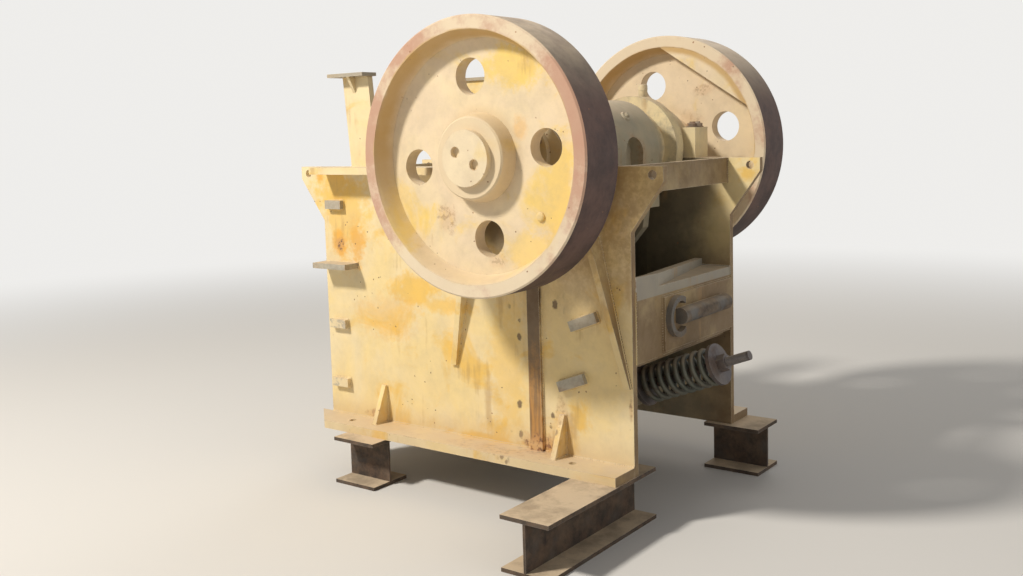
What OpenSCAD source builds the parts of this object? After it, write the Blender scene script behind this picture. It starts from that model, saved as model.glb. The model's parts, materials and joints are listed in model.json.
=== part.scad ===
// Single-toggle jaw crusher on short steel joists, in millimetres.
// Modelled from the front edge of the side plates, the middle of the shaft and the underside of the feet,
// then moved so that the middle of its footprint on the floor is the origin. +X is the discharge end.

/* [Side plates] */
// Length of a side plate between its upright edges
plate_l = 1580; // [1500:5:1700]
// Height of a side plate from the underside of the feet
plate_h = 1145; // [1120:5:1200]
// Thickness of a side plate
plate_t = 28; // [20:1:40]
// Width across the outer faces of the two side plates
plates_w = 850; // [800:5:900]
// Height at which the edges start to flare out to the ears
flare_z = 905; // [860:5:940]
// Reach of an ear past the upright edge
ear_reach = 135; // [110:5:160]
// Height of the upright edge of an ear
ear_edge = 55; // [45:5:75]
// Radius of the lifting hole in an ear
lift_r = 17; // [12:1:20]
// Distance of the lifting hole from the ear's end
lift_inset_x = 44; // [35:1:55]
// Distance of the lifting hole from the top edge
lift_inset_z = 31; // [28:1:36]

/* [Feet and flanges] */
// Thickness of a foot flange
foot_t = 35; // [25:1:45]
// Width of a foot flange outside its side plate
foot_w = 137; // [120:1:160]
// Reach of a foot flange past the front edge
foot_front = 65; // [40:5:90]
// Length of the slanted front corner of a foot flange
foot_corner = 150; // [100:5:160]
// Radius of a foot bolt hole
foot_hole_r = 15; // [12:1:18]
// Distance of the front foot bolt holes from the front edge
foot_hole_front = 198; // [190:1:205]
// Distance of the rear foot bolt holes from the rear edge
foot_hole_rear = 225; // [215:5:235]
// Distance of the foot bolt holes from the side plate
foot_hole_out = 73; // [60:1:85]
// Thickness of a top flange
top_flange_t = 30; // [20:1:40]
// Width of a top flange outside its side plate
top_flange_w = 100; // [90:1:115]
// Distance of a top flange from the rear edge
top_flange_rear = 100; // [80:5:120]
// Distance of a top flange from the front edge
top_flange_x = 20; // [10:5:40]
// Thickness of the gussets on the feet
gusset_t = 22; // [16:1:28]
// Height of the gussets on the feet
gusset_h = 160; // [130:5:190]
// Depth of the gussets on the feet
gusset_d = 82; // [60:1:100]
// Distance of the front gussets from the front edge
gusset_front = 345; // [320:5:380]
// Distance of the rear gussets from the rear edge
gusset_rear = 300; // [280:5:330]

/* [Bearing legs] */
// Thickness of a leg rib under a bearing
leg_t = 26; // [20:1:32]
// Distance of a leg's top from the shaft's middle
leg_top_x = 235; // [220:5:260]
// Distance of a leg's foot from the shaft's middle
leg_foot_x = 412; // [380:2:416]
// Height of a leg's lower tip
leg_foot_z = 330; // [300:5:380]
// Depth of a leg at its top
leg_top_d = 96; // [80:1:100]
// Depth of a leg at its lower tip
leg_foot_d = 12; // [8:1:20]
// Width of the upright strip under a bearing
strip_w = 58; // [45:1:70]
// Depth of the upright strip
strip_d = 14; // [8:1:20]
// Gap between that strip and the bearing's cap
strip_gap = 10; // [5:1:15]

/* [Front wall] */
// Distance of the front wall from the front edge
wall_x = 320; // [290:5:330]
// Thickness of the front wall
wall_t = 40; // [30:1:45]
// Height of the front wall's lower edge
wall_bottom = 120; // [100:5:150]
// Thickness of a cross rib of the front wall
rib_t = 38; // [30:1:44]
// Height of the lowest cross rib
rib_first_z = 180; // [170:2:190]
// Distance between the cross ribs
rib_pitch = 266; // [256:2:270]
// Length of a rib's tenon
tenon_l = 95; // [80:1:110]
// How far a tenon stands out of the side plate
tenon_out = 24; // [15:1:32]
// Distance of the tenons from the front edge
tenon_x = 30; // [24:1:40]
// Length of the side bracket
bracket_l = 200; // [180:5:220]
// Depth of the side bracket
bracket_d = 84; // [70:1:95]
// Thickness of the side bracket
bracket_t = 24; // [18:1:30]
// Thickness of an upright rib of the front wall
upright_t = 30; // [24:1:36]
// Set-back of the upright ribs behind the cross ribs' edges
upright_in = 20; // [10:1:30]

/* [Crushing chamber] */
// Thickness of a jaw die
die_t = 60; // [50:1:70]
// Height of the fixed die's lower edge
die_bottom = 230; // [220:5:240]
// Pitch of the die ridges
ridge_pitch = 76; // [70:2:80]
// Depth of the die ridges
ridge_d = 22; // [16:1:24]
// Thickness of a cheek plate
cheek_t = 30; // [24:1:32]
// Width of the discharge gap when the jaw is open
discharge_gap = 75; // [60:5:100]
// Height of the cheek plates' lower edge
cheek_bottom = 180; // [170:5:200]
// Drop of the cheek plates' top below the side plates' top
cheek_drop = 20; // [15:1:30]
// Reach of the cheek plates behind the jaw's front at the bottom
cheek_past = 40; // [30:5:50]
// Gap between the front wall and the cheek plates
cheek_gap = 2; // [1:1:4]
// Drop of the fixed die's top below the side plates' top
die_top_drop = 25; // [20:5:40]

/* [Shaft] */
// Distance of the shaft from the rear edge
shaft_rear = 433; // [425:1:440]
// Height of the shaft above the side plates' top
shaft_rise = 45; // [40:1:55]
// Radius of the shaft in its bearings
journal_r = 70; // [60:1:75]
// Radius of the eccentric
eccentric_r = 95; // [90:1:100]
// Throw of the eccentric
throw = 10; // [6:1:12]
// Clearance of the eccentric in the swing jaw
bore_clear = 0.5; // [0.3:0.1:0.9]
// Radius of the shaft in the flywheels
wheel_seat_r = 65; // [50:1:68]
// Radius of the cap on a shaft end
cap_r = 101; // [95:1:105]
// Thickness of the cap on a shaft end
cap_t = 24; // [18:1:30]
// Angle at which a shaft cap's two holes stand, in degrees
cap_hole_turn = -28; // [-35:1:-20]
// Radius of the two holes in a shaft cap
cap_hole_r = 20; // [15:1:22]
// Distance of a cap hole from the middle
cap_hole_at = 47; // [44:1:52]
// Depth of a shaft cap's holes
cap_hole_d = 18; // [12:1:18]

/* [Bearing housings] */
// Half length of a bearing housing
housing_half = 275; // [260:5:290]
// Height of the housing's bolt ledge above the shaft
housing_ledge = 85; // [70:1:95]
// Outer radius of the round cap
housing_r = 185; // [170:1:190]
// Slope of the cap's flanks in degrees
flank_slope = 52; // [48:1:56]
// Length of the bolt bosses at the housing's ends
boss_l = 61; // [50:1:70]
// Depth of the housing's outer face behind the top flange's edge
housing_in = 12; // [0:1:20]
// Length of a bearing cover past the housing
cover_l = 22; // [16:1:30]
// Outer radius of a bearing cover
cover_r = 150; // [140:1:160]
// Running clearance of the shaft in its bearings
running = 0.05; // [0.02:0.01:0.09]

/* [Flywheels] */
// Diameter of a flywheel
wheel_d = 1000; // [980:5:1020]
// Width of a flywheel's rim
rim_w = 204; // [195:1:215]
// Distance of a rim's inner face from the middle
rim_in = 609; // [605:1:620]
// Width of the flat ring on a rim's face
ring_w = 50; // [40:1:55]
// Radius at which the rim meets the web
web_r = 422; // [410:1:430]
// Depth of the web behind a rim's face
web_depth = 74; // [65:1:80]
// Chamfer along a rim's edges
rim_chamfer = 6; // [4:1:10]
// Draft of a rim's inner side next to its face
rim_draft = 12; // [8:1:16]
// Radius of the hub
hub_r = 148; // [140:1:155]
// Depth of the hub behind the outer face
hub_depth = 10; // [6:1:16]
// Spread of the hub where it meets the web
hub_foot = 14; // [8:1:20]
// Chamfer along the hub's edge
hub_chamfer = 6; // [4:1:10]
// Reach of the hub past the rim on the inside
hub_in = 50; // [40:1:55]
// Radius of the inner part of the hub
hub_in_r = 118; // [105:1:125]
// Radius of the round holes in the web
web_hole_r = 66; // [60:1:70]
// Distance of the web holes from the shaft
web_hole_at = 292; // [285:1:300]
// Turn of the near wheel's holes in degrees
near_turn = 6.5; // [0:0.5:10]
// Turn of the far wheel's holes in degrees
far_turn = 17; // [10:0.5:20]
// Distance of the counterweight's flat edge from the shaft
weight_at = 372; // [350:1:390]
// How far the counterweight runs into the rim, and lies behind its face
weight_bite = 2; // [1:0.5:4]
// Direction of the counterweight in degrees
weight_turn = 57; // [50:1:65]

/* [Swing jaw] */
// Radius of the swing jaw's barrel
barrel_r = 208; // [204:1:215]
// Half length of the barrel's thick middle
barrel_mid = 200; // [190:5:210]
// Radius of the necks on both sides of it
neck_r = 168; // [165:1:175]
// Radius of the rings at the barrel's ends
barrel_ring_r = 226; // [220:1:232]
// Height of the apron below the barrel's middle
apron_h = 240; // [220:5:260]
// Distance of the apron's rear face inside the barrel's
apron_in = 2; // [1:1:6]
// Width of the arched pocket in the apron
pocket_w = 140; // [130:5:150]
// Depth of the arched pocket
pocket_d = 60; // [50:1:70]
// Rise of the pocket's arch above the shaft's middle
pocket_top = 53; // [45:1:60]
// Width of a barrel ring
barrel_ring_w = 62; // [50:1:80]
// Clearance between the barrel and a side plate
barrel_gap = 14; // [10:1:20]
// Thickness of the slab behind the moving die
slab_t = 84; // [70:1:95]
// Thickness of the swing jaw's ribs
jaw_rib_t = 46; // [40:1:50]
// Height of the swing jaw's lower end
jaw_bottom = 150; // [140:5:170]
// Drop of the ribs' tops below the shaft's middle
jaw_rib_drop = 64; // [50:2:80]
// Distance of the outer ribs from the middle
jaw_rib_y = 250; // [240:5:260]
// Reach of the jaw's toe in front of its die
jaw_toe = 20; // [15:1:25]
// Depth by which the toggle seat is rooted in the jaw's slab
seat_root = 40; // [30:1:50]
// Half width of the jaw's toggle seat
jaw_seat_reach = 300; // [290:5:320]
// Clearance of the swing jaw from the cheek plates
jaw_side_gap = 14; // [10:1:20]
// Distance of the slab's front face from the shaft's middle
slab_off = 160; // [150:2:164]
// Clearance of the swing die from the barrel rings
die_clear = 3; // [2:1:8]
// Radius of the pin in the jaw's lug
pin_r = 14; // [12:1:16]
// Radius of the lug round that pin
lug_r = 38; // [34:1:42]
// Thickness of one plate of the lug
lug_t = 26; // [20:1:30]
// Clearance between the lug's plates and the rod's eye
lug_gap = 2; // [1:1:4]

/* [Rear] */
// Height of the upper cross plate
cross_h = 105; // [90:5:120]
// Thickness of the upper cross plate
cross_t = 30; // [24:1:36]
// Distance of the upper cross plate from the rear edge
cross_in = 10; // [5:1:20]
// Height of the rear beam's lower edge
beam_bottom = 415; // [405:5:425]
// Height of the rear beam's top
beam_top = 685; // [675:5:695]
// Thickness of the rear beam's plates
beam_t = 34; // [26:1:36]
// Depth of the rear beam's top plate
beam_depth = 200; // [180:5:220]
// Slope of the toggle and its guides in degrees
slope = 21; // [20:0.5:22]
// Thickness of a guide plate
guide_t = 40; // [34:1:42]
// Distance of the lower guide's front edge from the rear edge
guide_in = 312; // [305:1:320]
// Drop of the lower guide's front edge below the rear beam
guide_drop = 130; // [120:5:140]
// Clear height between the two guides
guide_space = 162; // [158:1:165]
// Distance of the upper guide's front edge behind the lower one's
guide_step = 140; // [130:5:150]
// Length of the upper guide
guide_upper_l = 170; // [150:5:180]
// Length of a guide's tenon in the side plate
guide_tenon_l = 125; // [110:5:140]
// Thickness of the raised panel on the rear beam
panel_t = 12; // [8:1:16]
// Distance of the panel's near edge from the middle
panel_near = 200; // [180:5:220]
// Gap between the panel and the far side plate
panel_gap = 12; // [8:1:20]
// Gap below the panel
panel_low = 14; // [10:1:20]
// Gap above the panel
panel_high = 46; // [40:1:55]
// Radius of the round bar on the panel
bar_r = 32; // [28:1:36]
// Height of that bar above the panel's lower edge
bar_rise = 126; // [115:1:135]
// Distance of that bar's near end from the middle
bar_near = 115; // [105:5:125]
// Distance of that bar's far end from the middle
bar_far = 283; // [270:5:300]
// Outer radius of the hooked strap round the bar's near end
strap_r = 80; // [76:1:84]
// Width of that strap
strap_w = 20; // [16:1:24]
// Thickness of that strap
strap_t = 24; // [16:1:30]
// Height of the brace on the rear beam at its near end
brace_h = 55; // [45:1:65]
// Height of that brace at its far end
brace_tip = 28; // [20:1:36]
// Thickness of that brace
brace_t = 34; // [26:1:42]

/* [Toggle] */
// Length of the toggle plate
toggle_l = 400; // [380:5:410]
// Thickness of the toggle plate
toggle_t = 44; // [36:1:50]
// Radius of the toggle plate's round ends
toggle_end_r = 30; // [26:1:34]
// Width of the toggle plate
toggle_w = 560; // [520:10:600]
// Distance of the toggle's rear end behind the lower guide's front edge
toggle_in = 5; // [0:1:15]
// Play of the seat block between the guides
seat_play = 6; // [4:1:10]
// Length of the seat block in the guides
seat_l = 110; // [90:5:120]
// Thickness of a shim behind the seat block
shim_t = 26; // [20:1:32]
// Difference in height between neighbouring shims
shim_step = 8; // [4:1:12]
// Half height of the swing jaw's toggle seat
jaw_seat_half = 70; // [60:1:76]
// Clearance between the toggle plate and its seats
seat_gap = 0.3; // [0.2:0.1:0.5]
// Clearance between sloping faces that lie against each other
fit_gap = 0.1; // [0.05:0.05:0.2]

/* [Tension rod] */
// Radius of the tension rod
rod_r = 18; // [14:1:20]
// Slope of the tension rod in degrees
rod_slope = 21; // [20:0.5:22]
// Outer radius of the spring
spring_r = 78; // [70:1:82]
// Radius of the spring wire
wire_r = 11; // [9:1:12]
// Number of turns of the spring
spring_turns = 8; // [7:1:9]
// Length of the spring
spring_l = 330; // [300:5:340]
// Thickness of a spring seat
spring_seat_t = 16; // [12:1:20]
// Reach of a spring seat past the spring
seat_lip = 4; // [2:1:8]
// Radius of the nuts on the rod, across their corners
nut_r = 34; // [30:1:38]
// Height of the nuts on the rod
nut_t = 34; // [28:1:40]
// Length of rod behind the spring
rod_tail = 150; // [120:5:160]
// Distance of the spring's rear end behind the side plates
spring_out = 126; // [115:1:135]
// Drop of the spring's rear end below the rear beam
spring_drop = 63; // [55:1:70]
// Length of rod from the jaw's pin to the spring's rear end
rod_front_l = 863; // [855:1:875]
// Thickness of the rod's eye
eye_t = 44; // [40:1:50]
// Swing of the jaw that the slot in the rod's eye allows, in degrees
eye_swing = 1.25; // [1.25:0.05:1.5]
// Clearance round the rod and its pin
rod_clear = 0.3; // [0.2:0.1:0.5]
// Depth of the bracket that carries the rod
rod_bracket_d = 120; // [100:5:130]

/* [Feed posts] */
// Height of a feed post above the side plate
post_h = 385; // [360:5:400]
// Width of a feed post
post_w = 150; // [130:5:165]
// Distance of a feed post's foot from the front edge
post_x = 185; // [170:5:200]
// Forward lean of a feed post at its top
post_lean = 32; // [20:1:40]
// Thickness of the cap plate on a feed post
post_cap_t = 15; // [10:1:20]
// Overhang of the cap plate past the post's front
post_cap_front = 48; // [40:1:55]
// Overhang of the cap plate past the post's outer face
post_cap_side = 46; // [40:1:55]
// Overhang of the cap plate past the post's other sides
post_cap_back = 12; // [8:1:16]
// Height of the small gusset under the cap plate
post_gusset_h = 70; // [60:5:85]

/* [Joists] */
// Height and width of a joist
joist_h = 200; // [180:5:220]
// Thickness of a joist's flanges
joist_flange = 15; // [10:1:18]
// Thickness of a joist's web
joist_web = 10; // [8:1:14]
// Length of the rear joist across the near foot
joist_across = 715; // [680:5:740]
// Distance of that joist's outer end from the middle
joist_end = 995; // [970:5:1000]
// Reach of that joist's middle past the side plates' rear edge
joist_near_out = 7; // [0:1:15]
// Length of the rear joist along the far foot
joist_along = 250; // [230:5:270]
// Reach of that joist past the side plates' rear edge
joist_far_out = 135; // [120:5:150]
// Distance of that joist's web from the far side plate
joist_far_web = 43; // [40:1:60]
// Length of the front joists
joist_short = 225; // [215:5:235]
// Gap between a front joist and the bolt hole in front of it
joist_short_gap = 12; // [8:1:20]
// Gap between a front joist's flange and the side plate
joist_plate_gap = 15; // [10:1:20]

/* [Hidden] */
$fn = 64;

shaft_x = plate_l - shaft_rear;
shaft_z = plate_h + shaft_rise;

// Places across the machine, measured from its middle
plate_out = plates_w / 2;
plate_in = plate_out - plate_t;
foot_edge = plate_out + foot_w;
top_edge = plate_out + top_flange_w;
rim_out = rim_in + rim_w;
cap_end = rim_out - hub_depth + cap_t;
ear_low = plate_h - ear_edge;

// Line of the guides and the toggle, along and square to their slope
toggle_dir = [cos(slope), sin(slope)];
toggle_up = [-sin(slope), cos(slope)];
guide_lower = [plate_l - guide_in, beam_bottom - guide_drop];
guide_upper = guide_lower + (guide_t + guide_space) * toggle_up + guide_step * toggle_dir;
seat_t = guide_space - seat_play;
toggle_rear = guide_lower + (guide_t + seat_gap + seat_t / 2) * toggle_up + toggle_in * toggle_dir;
toggle_front = toggle_rear - toggle_l * toggle_dir;
toggle_face = toggle_front - (toggle_end_r + seat_gap) * toggle_dir;

// Line of the tension rod
rod_dir = [cos(rod_slope), sin(rod_slope)];
spring_rear = [plate_l + spring_out, beam_bottom - spring_drop];
rod_end = spring_rear + rod_tail * rod_dir;
rod_pin = spring_rear - rod_front_l * rod_dir;
shaft_to_pin = rod_pin - [shaft_x, shaft_z];
eye_end = [shaft_x, shaft_z] + [
  shaft_to_pin[0] * cos(eye_swing) + shaft_to_pin[1] * sin(eye_swing),
  shaft_to_pin[1] * cos(eye_swing) - shaft_to_pin[0] * sin(eye_swing)
];

// Box of the whole crusher
box_x = [-ear_reach, rod_end[0] + rod_r * sin(rod_slope)];
box_y = [-joist_end, cap_end];
middle = [(box_x[0] + box_x[1]) / 2, (box_y[0] + box_y[1]) / 2];

// Jaw geometry
fixed_face = wall_x + wall_t + die_t;
die_top = plate_h - die_top_drop;
jaw_front_bottom = fixed_face + discharge_gap + die_t;
jaw_to_shaft = [shaft_x - jaw_front_bottom, shaft_z - die_bottom];
jaw_lean = atan2(jaw_to_shaft[0], jaw_to_shaft[1]) - asin(slab_off / norm(jaw_to_shaft));
jaw_along = sqrt(pow(norm(jaw_to_shaft), 2) - pow(slab_off, 2));
swing_die_l = jaw_along - sqrt(pow(barrel_ring_r + die_clear, 2) - pow(slab_off, 2));
jaw_front_top = jaw_front_bottom + swing_die_l * sin(jaw_lean);
jaw_top_z = die_bottom + swing_die_l * cos(jaw_lean);
slab_l = jaw_along - neck_r / 4;
jaw_slab_top = [jaw_front_bottom + slab_l * sin(jaw_lean), die_bottom + slab_l * cos(jaw_lean)];
cheek_in = plate_in - cheek_t;
jaw_half = cheek_in - jaw_side_gap;
barrel_half = plate_in - barrel_gap;
jaw_bore_r = eccentric_r + throw + bore_clear;
eccentric_at = [shaft_x - throw * cos(weight_turn), shaft_z - throw * sin(weight_turn)];

module placed() {
  translate([-middle[0], -middle[1], joist_h]) children();
}

// Turns a flat XZ outline into a plate between two places across the machine
module slab(y_from, y_to) {
  translate([0, y_to, 0]) rotate([90, 0, 0]) linear_extrude(y_to - y_from) children();
}

// A round bar across the machine
module across(x, z, r, y_from, y_to) {
  translate([x, y_to, z]) rotate([90, 0, 0]) cylinder(r = r, h = y_to - y_from);
}

// A copy on the other side of the machine
module far() {
  mirror([0, 1, 0]) children();
}

module side_outline() {
  polygon([
    [0, 0], [plate_l, 0], [plate_l, flare_z], [plate_l + ear_reach, ear_low], [plate_l + ear_reach, plate_h],
    [-ear_reach, plate_h], [-ear_reach, ear_low], [0, flare_z]
  ]);
}

module side_plate() {
  difference() {
    slab(-plate_out, -plate_in) side_outline();
    for (x = [-ear_reach + lift_inset_x, plate_l + ear_reach - lift_inset_x])
      across(x, plate_h - lift_inset_z, lift_r, -plate_out - 1, -plate_in + 1);
    across(shaft_x, shaft_z, housing_r + 1, -plate_out - 1, -plate_in + 1);
  }
}

module foot_flange() {
  difference() {
    linear_extrude(foot_t) polygon([
      [-foot_front, -plate_out], [plate_l, -plate_out], [plate_l, -foot_edge],
      [-foot_front + foot_corner, -foot_edge]
    ]);
    for (x = [foot_hole_front, plate_l - foot_hole_rear])
      translate([x, -plate_out - foot_hole_out, -1]) cylinder(r = foot_hole_r, h = foot_t + 2);
  }
}

module top_flange() {
  difference() {
    translate([top_flange_x, -top_edge, plate_h - top_flange_t])
      cube([plate_l - top_flange_x - top_flange_rear, top_flange_w, top_flange_t]);
    across(shaft_x, shaft_z, housing_r + 1, -top_edge - 1, -plate_out + 1);
  }
}

module foot_gussets() {
  for (x = [gusset_front, plate_l - gusset_rear])
    translate([x, -plate_out, foot_t]) rotate([90, 0, -90]) linear_extrude(gusset_t)
      polygon([[0, 0], [gusset_d, 0], [gusset_d * 0.15, gusset_h], [0, gusset_h]]);
}

// A tapered leg that leans away from the shaft, drawn as it stands on the side plate
module leg(side) {
  top_z = plate_h - top_flange_t;
  intersection() {
    slab(-plate_out - leg_top_d, -plate_out) polygon([
      [shaft_x + side * leg_top_x - leg_t / 2, top_z], [shaft_x + side * leg_top_x + leg_t / 2, top_z],
      [shaft_x + side * leg_foot_x + leg_t / 2, leg_foot_z], [shaft_x + side * leg_foot_x - leg_t / 2, leg_foot_z]
    ]);
    translate([0, -plate_out, 0]) rotate([90, 0, 90]) linear_extrude(plate_l) polygon([
      [0, leg_foot_z], [-leg_foot_d, leg_foot_z], [-leg_top_d, top_z], [0, top_z]
    ]);
  }
}

module bearing_legs() {
  leg(-1);
  leg(1);
  translate([shaft_x - strip_w / 2, -plate_out - strip_d, foot_t])
    cube([strip_w, strip_d, shaft_z - housing_r - foot_t - strip_gap]);
}

function rib_z(i) = rib_first_z + i * rib_pitch;

module front_wall() {
  translate([wall_x, -plate_in, wall_bottom]) cube([wall_t, 2 * plate_in, plate_h - wall_bottom]);
}

module front_wall_ribs() {
  for (i = [0:3])
    translate([tenon_x, -plate_in, rib_z(i) - rib_t / 2]) cube([wall_x - tenon_x, 2 * plate_in, rib_t]);
}

module front_wall_uprights() {
  for (i = [0:2], y = [-1, 1])
    translate([tenon_x + upright_in, y * plate_in / 3 - upright_t / 2, rib_z(i) + rib_t / 2])
      cube([wall_x - tenon_x - upright_in, upright_t, rib_pitch - rib_t]);
}

module plate_tenons() {
  for (i = [0, 1, 3])
    translate([tenon_x, -plate_out - tenon_out, rib_z(i) - rib_t / 2]) cube([tenon_l, tenon_out, rib_t]);
  for (p = [guide_lower, guide_upper])
    slab(-plate_out - tenon_out, -plate_out) translate(p) rotate(slope) square([guide_tenon_l, guide_t]);
}

module side_brackets() {
  for (s = [0, 1]) mirror([0, s, 0])
    translate([0, -plate_out - bracket_d, rib_z(2) - bracket_t / 2]) cube([bracket_l, bracket_d, bracket_t]);
}

// Ridges of a die as an outline across the machine
module die_outline(half) {
  count = floor(2 * half / ridge_pitch);
  start = -count * ridge_pitch / 2;
  polygon(concat(
    [[0, -half], [die_t - ridge_d, -half], [die_t - ridge_d, start]],
    [for (i = [0:count - 1], p = [[0.25, 0], [0.5, 1], [0.75, 0]])
      [die_t - ridge_d + ridge_d * p[1], start + (i + p[0]) * ridge_pitch]],
    [[die_t - ridge_d, half], [0, half]]
  ));
}

module fixed_die() {
  translate([wall_x + wall_t, 0, die_bottom]) linear_extrude(die_top - die_bottom) die_outline(cheek_in - 1);
}

module cheek_plate() {
  slab(-plate_in, -cheek_in) polygon([
    [fixed_face - die_t + cheek_gap, cheek_bottom], [jaw_front_bottom + cheek_past, cheek_bottom],
    [jaw_front_top - die_t, plate_h - cheek_drop], [fixed_face - die_t + cheek_gap, plate_h - cheek_drop]
  ]);
}

// Half of a bearing housing's outline, measured from the shaft's middle
module half_housing_outline() {
  boss_x = housing_half - boss_l;
  flank = housing_r * [sin(flank_slope), cos(flank_slope)];
  polygon([
    [0, plate_h - shaft_z], [housing_half, plate_h - shaft_z], [housing_half, housing_ledge],
    [boss_x, housing_ledge], [boss_x, flank[1] - (boss_x - flank[0]) * tan(flank_slope)], flank, [0, flank[1]]
  ]);
}

module bearing_housing() {
  y_out = -top_edge + housing_in;
  y_in = -plate_in;
  difference() {
    union() {
      slab(y_out, y_in) translate([shaft_x, shaft_z]) for (s = [0, 1]) mirror([s, 0]) half_housing_outline();
      across(shaft_x, shaft_z, housing_r, y_out, y_in);
      across(shaft_x, shaft_z, cover_r, y_out - cover_l, y_out + 1);
    }
    across(shaft_x, shaft_z, journal_r + running, y_out - cover_l - 1, y_in + 1);
  }
}

module eccentric_shaft() {
  across(shaft_x, shaft_z, wheel_seat_r, -rim_out + hub_depth, rim_out - hub_depth);
  across(shaft_x, shaft_z, journal_r, -rim_in + hub_in, rim_in - hub_in);
  across(eccentric_at[0], eccentric_at[1], eccentric_r, -barrel_half, barrel_half);
}

// Half section of a flywheel, radius by distance from its outer face
module wheel_section() {
  r = wheel_d / 2;
  ring_r = r - ring_w;
  polygon([
    [wheel_seat_r, hub_depth], [hub_r - hub_chamfer, hub_depth], [hub_r, hub_depth + hub_chamfer],
    [hub_r + hub_foot, web_depth], [web_r, web_depth], [ring_r - rim_draft / 2, rim_draft], [ring_r, 0],
    [r - rim_chamfer, 0], [r, rim_chamfer], [r, rim_w - rim_chamfer], [r - rim_chamfer, rim_w],
    [ring_r, rim_w], [ring_r - rim_draft / 2, rim_w - rim_draft], [web_r, rim_w - web_depth],
    [hub_in_r + hub_foot, rim_w - web_depth], [hub_in_r, rim_w - rim_draft], [hub_in_r, rim_w + hub_in],
    [wheel_seat_r, rim_w + hub_in]
  ]);
}

module wheel(turn) {
  difference() {
    translate([shaft_x, -rim_out, shaft_z]) rotate([-90, 0, 0]) rotate_extrude($fn = 96) wheel_section();
    for (i = [0:3]) {
      a = turn + i * 90;
      across(shaft_x + web_hole_at * cos(a), shaft_z + web_hole_at * sin(a), web_hole_r,
        -rim_out, -rim_in);
    }
  }
}

module flywheel_near() {
  wheel(near_turn);
}

module flywheel_far() {
  far() wheel(far_turn);
  intersection() {
    across(shaft_x, shaft_z, wheel_d / 2 - ring_w + weight_bite, rim_in + weight_bite, rim_in + web_depth + 1);
    translate([shaft_x, 0, shaft_z]) rotate([0, -weight_turn, 0])
      translate([weight_at, rim_in, -wheel_d / 2]) cube([wheel_d, rim_w, wheel_d]);
  }
}

module shaft_cap() {
  difference() {
    across(shaft_x, shaft_z, cap_r, -cap_end, -rim_out + hub_depth);
    for (s = [-1, 1])
      across(shaft_x + s * cap_hole_at * cos(cap_hole_turn), shaft_z + s * cap_hole_at * sin(cap_hole_turn),
        cap_hole_r, -cap_end - 1, -cap_end + cap_hole_d);
  }
}

module shaft_caps() {
  shaft_cap();
  far() shaft_cap();
}

// Outline of a swing jaw rib, seen from the side
module jaw_rib_outline() {
  polygon([
    [jaw_front_top + slab_t / 2, shaft_z - jaw_rib_drop],
    [shaft_x + 0.85 * neck_r, shaft_z - jaw_rib_drop],
    [shaft_x + 0.65 * neck_r, shaft_z - 2 * neck_r],
    toggle_face + [jaw_rib_t, 2.5 * jaw_seat_half],
    toggle_face + 0.8 * jaw_seat_half * toggle_up - seat_root * toggle_dir,
    [jaw_front_bottom + slab_t / 3, die_bottom + seat_root]
  ]);
}

// The slab runs up into the necks and the barrel
module jaw_slab_outline() {
  polygon([
    jaw_slab_top, jaw_slab_top + [slab_t, 0], [jaw_front_bottom + slab_t, die_bottom],
    [jaw_front_bottom + slab_t, jaw_bottom], [jaw_front_bottom - jaw_toe, jaw_bottom],
    [jaw_front_bottom, die_bottom]
  ]);
}

module jaw_seat_outline() {
  polygon([
    [jaw_front_bottom + slab_t / 4, die_bottom - seat_root / 2], [jaw_front_bottom + slab_t / 2, jaw_bottom],
    toggle_face - jaw_seat_half * toggle_up,
    toggle_face + jaw_seat_half * toggle_up,
    [jaw_front_bottom + 0.7 * slab_t, die_bottom + 3 * seat_root]
  ]);
}

// Outline of a plate of the lug that holds the tension rod
module jaw_lug_outline() {
  polygon([
    [jaw_front_bottom + 0.6 * slab_t, die_bottom - seat_root / 2], toggle_face,
    toggle_face - 0.9 * jaw_seat_half * toggle_up, rod_pin + [0.9 * lug_r, 0], rod_pin - [0.9 * lug_r, 0]
  ]);
  translate(rod_pin) circle(r = lug_r);
}

// Seen from the side, the apron hangs from the barrel's thick middle
module apron_outline() {
  translate([shaft_x, shaft_z - apron_h]) square([barrel_r - apron_in, apron_h]);
}

// Seen from the rear, the arched pocket in the apron
module pocket_outline() {
  translate([-pocket_w / 2, -apron_h - 1]) square([pocket_w, apron_h + pocket_top - pocket_w / 2 + 1]);
  translate([0, pocket_top - pocket_w / 2]) circle(d = pocket_w);
}

module swing_jaw() {
  eye_half = eye_t / 2 + lug_gap;
  difference() {
    union() {
      across(shaft_x, shaft_z, barrel_r, -barrel_mid, barrel_mid);
      across(shaft_x, shaft_z, neck_r, -barrel_half, barrel_half);
      slab(-barrel_mid, barrel_mid) apron_outline();
      for (s = [0, 1]) mirror([0, s, 0]) {
        across(shaft_x, shaft_z, barrel_ring_r, -barrel_half, -barrel_half + barrel_ring_w);
        slab(-eye_half - lug_t, -eye_half) jaw_lug_outline();
      }
      across(rod_pin[0], rod_pin[1], pin_r, -eye_half - lug_t, eye_half + lug_t);
      slab(-jaw_half, jaw_half) jaw_slab_outline();
      slab(-jaw_seat_reach, jaw_seat_reach) jaw_seat_outline();
      for (y = [-1, 0, 1])
        slab(y * jaw_rib_y - jaw_rib_t / 2, y * jaw_rib_y + jaw_rib_t / 2) jaw_rib_outline();
    }
    across(shaft_x, shaft_z, jaw_bore_r, -barrel_half - 1, barrel_half + 1);
    translate([shaft_x + barrel_r - pocket_d, 0, shaft_z]) rotate([90, 0, 90]) linear_extrude(pocket_d + 1)
      pocket_outline();
  }
}

module swing_die() {
  translate([jaw_front_bottom, 0, die_bottom]) rotate([0, jaw_lean, 0]) translate([-fit_gap, 0, 0])
    mirror([1, 0, 0]) linear_extrude(swing_die_l) die_outline(jaw_half);
}

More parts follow.
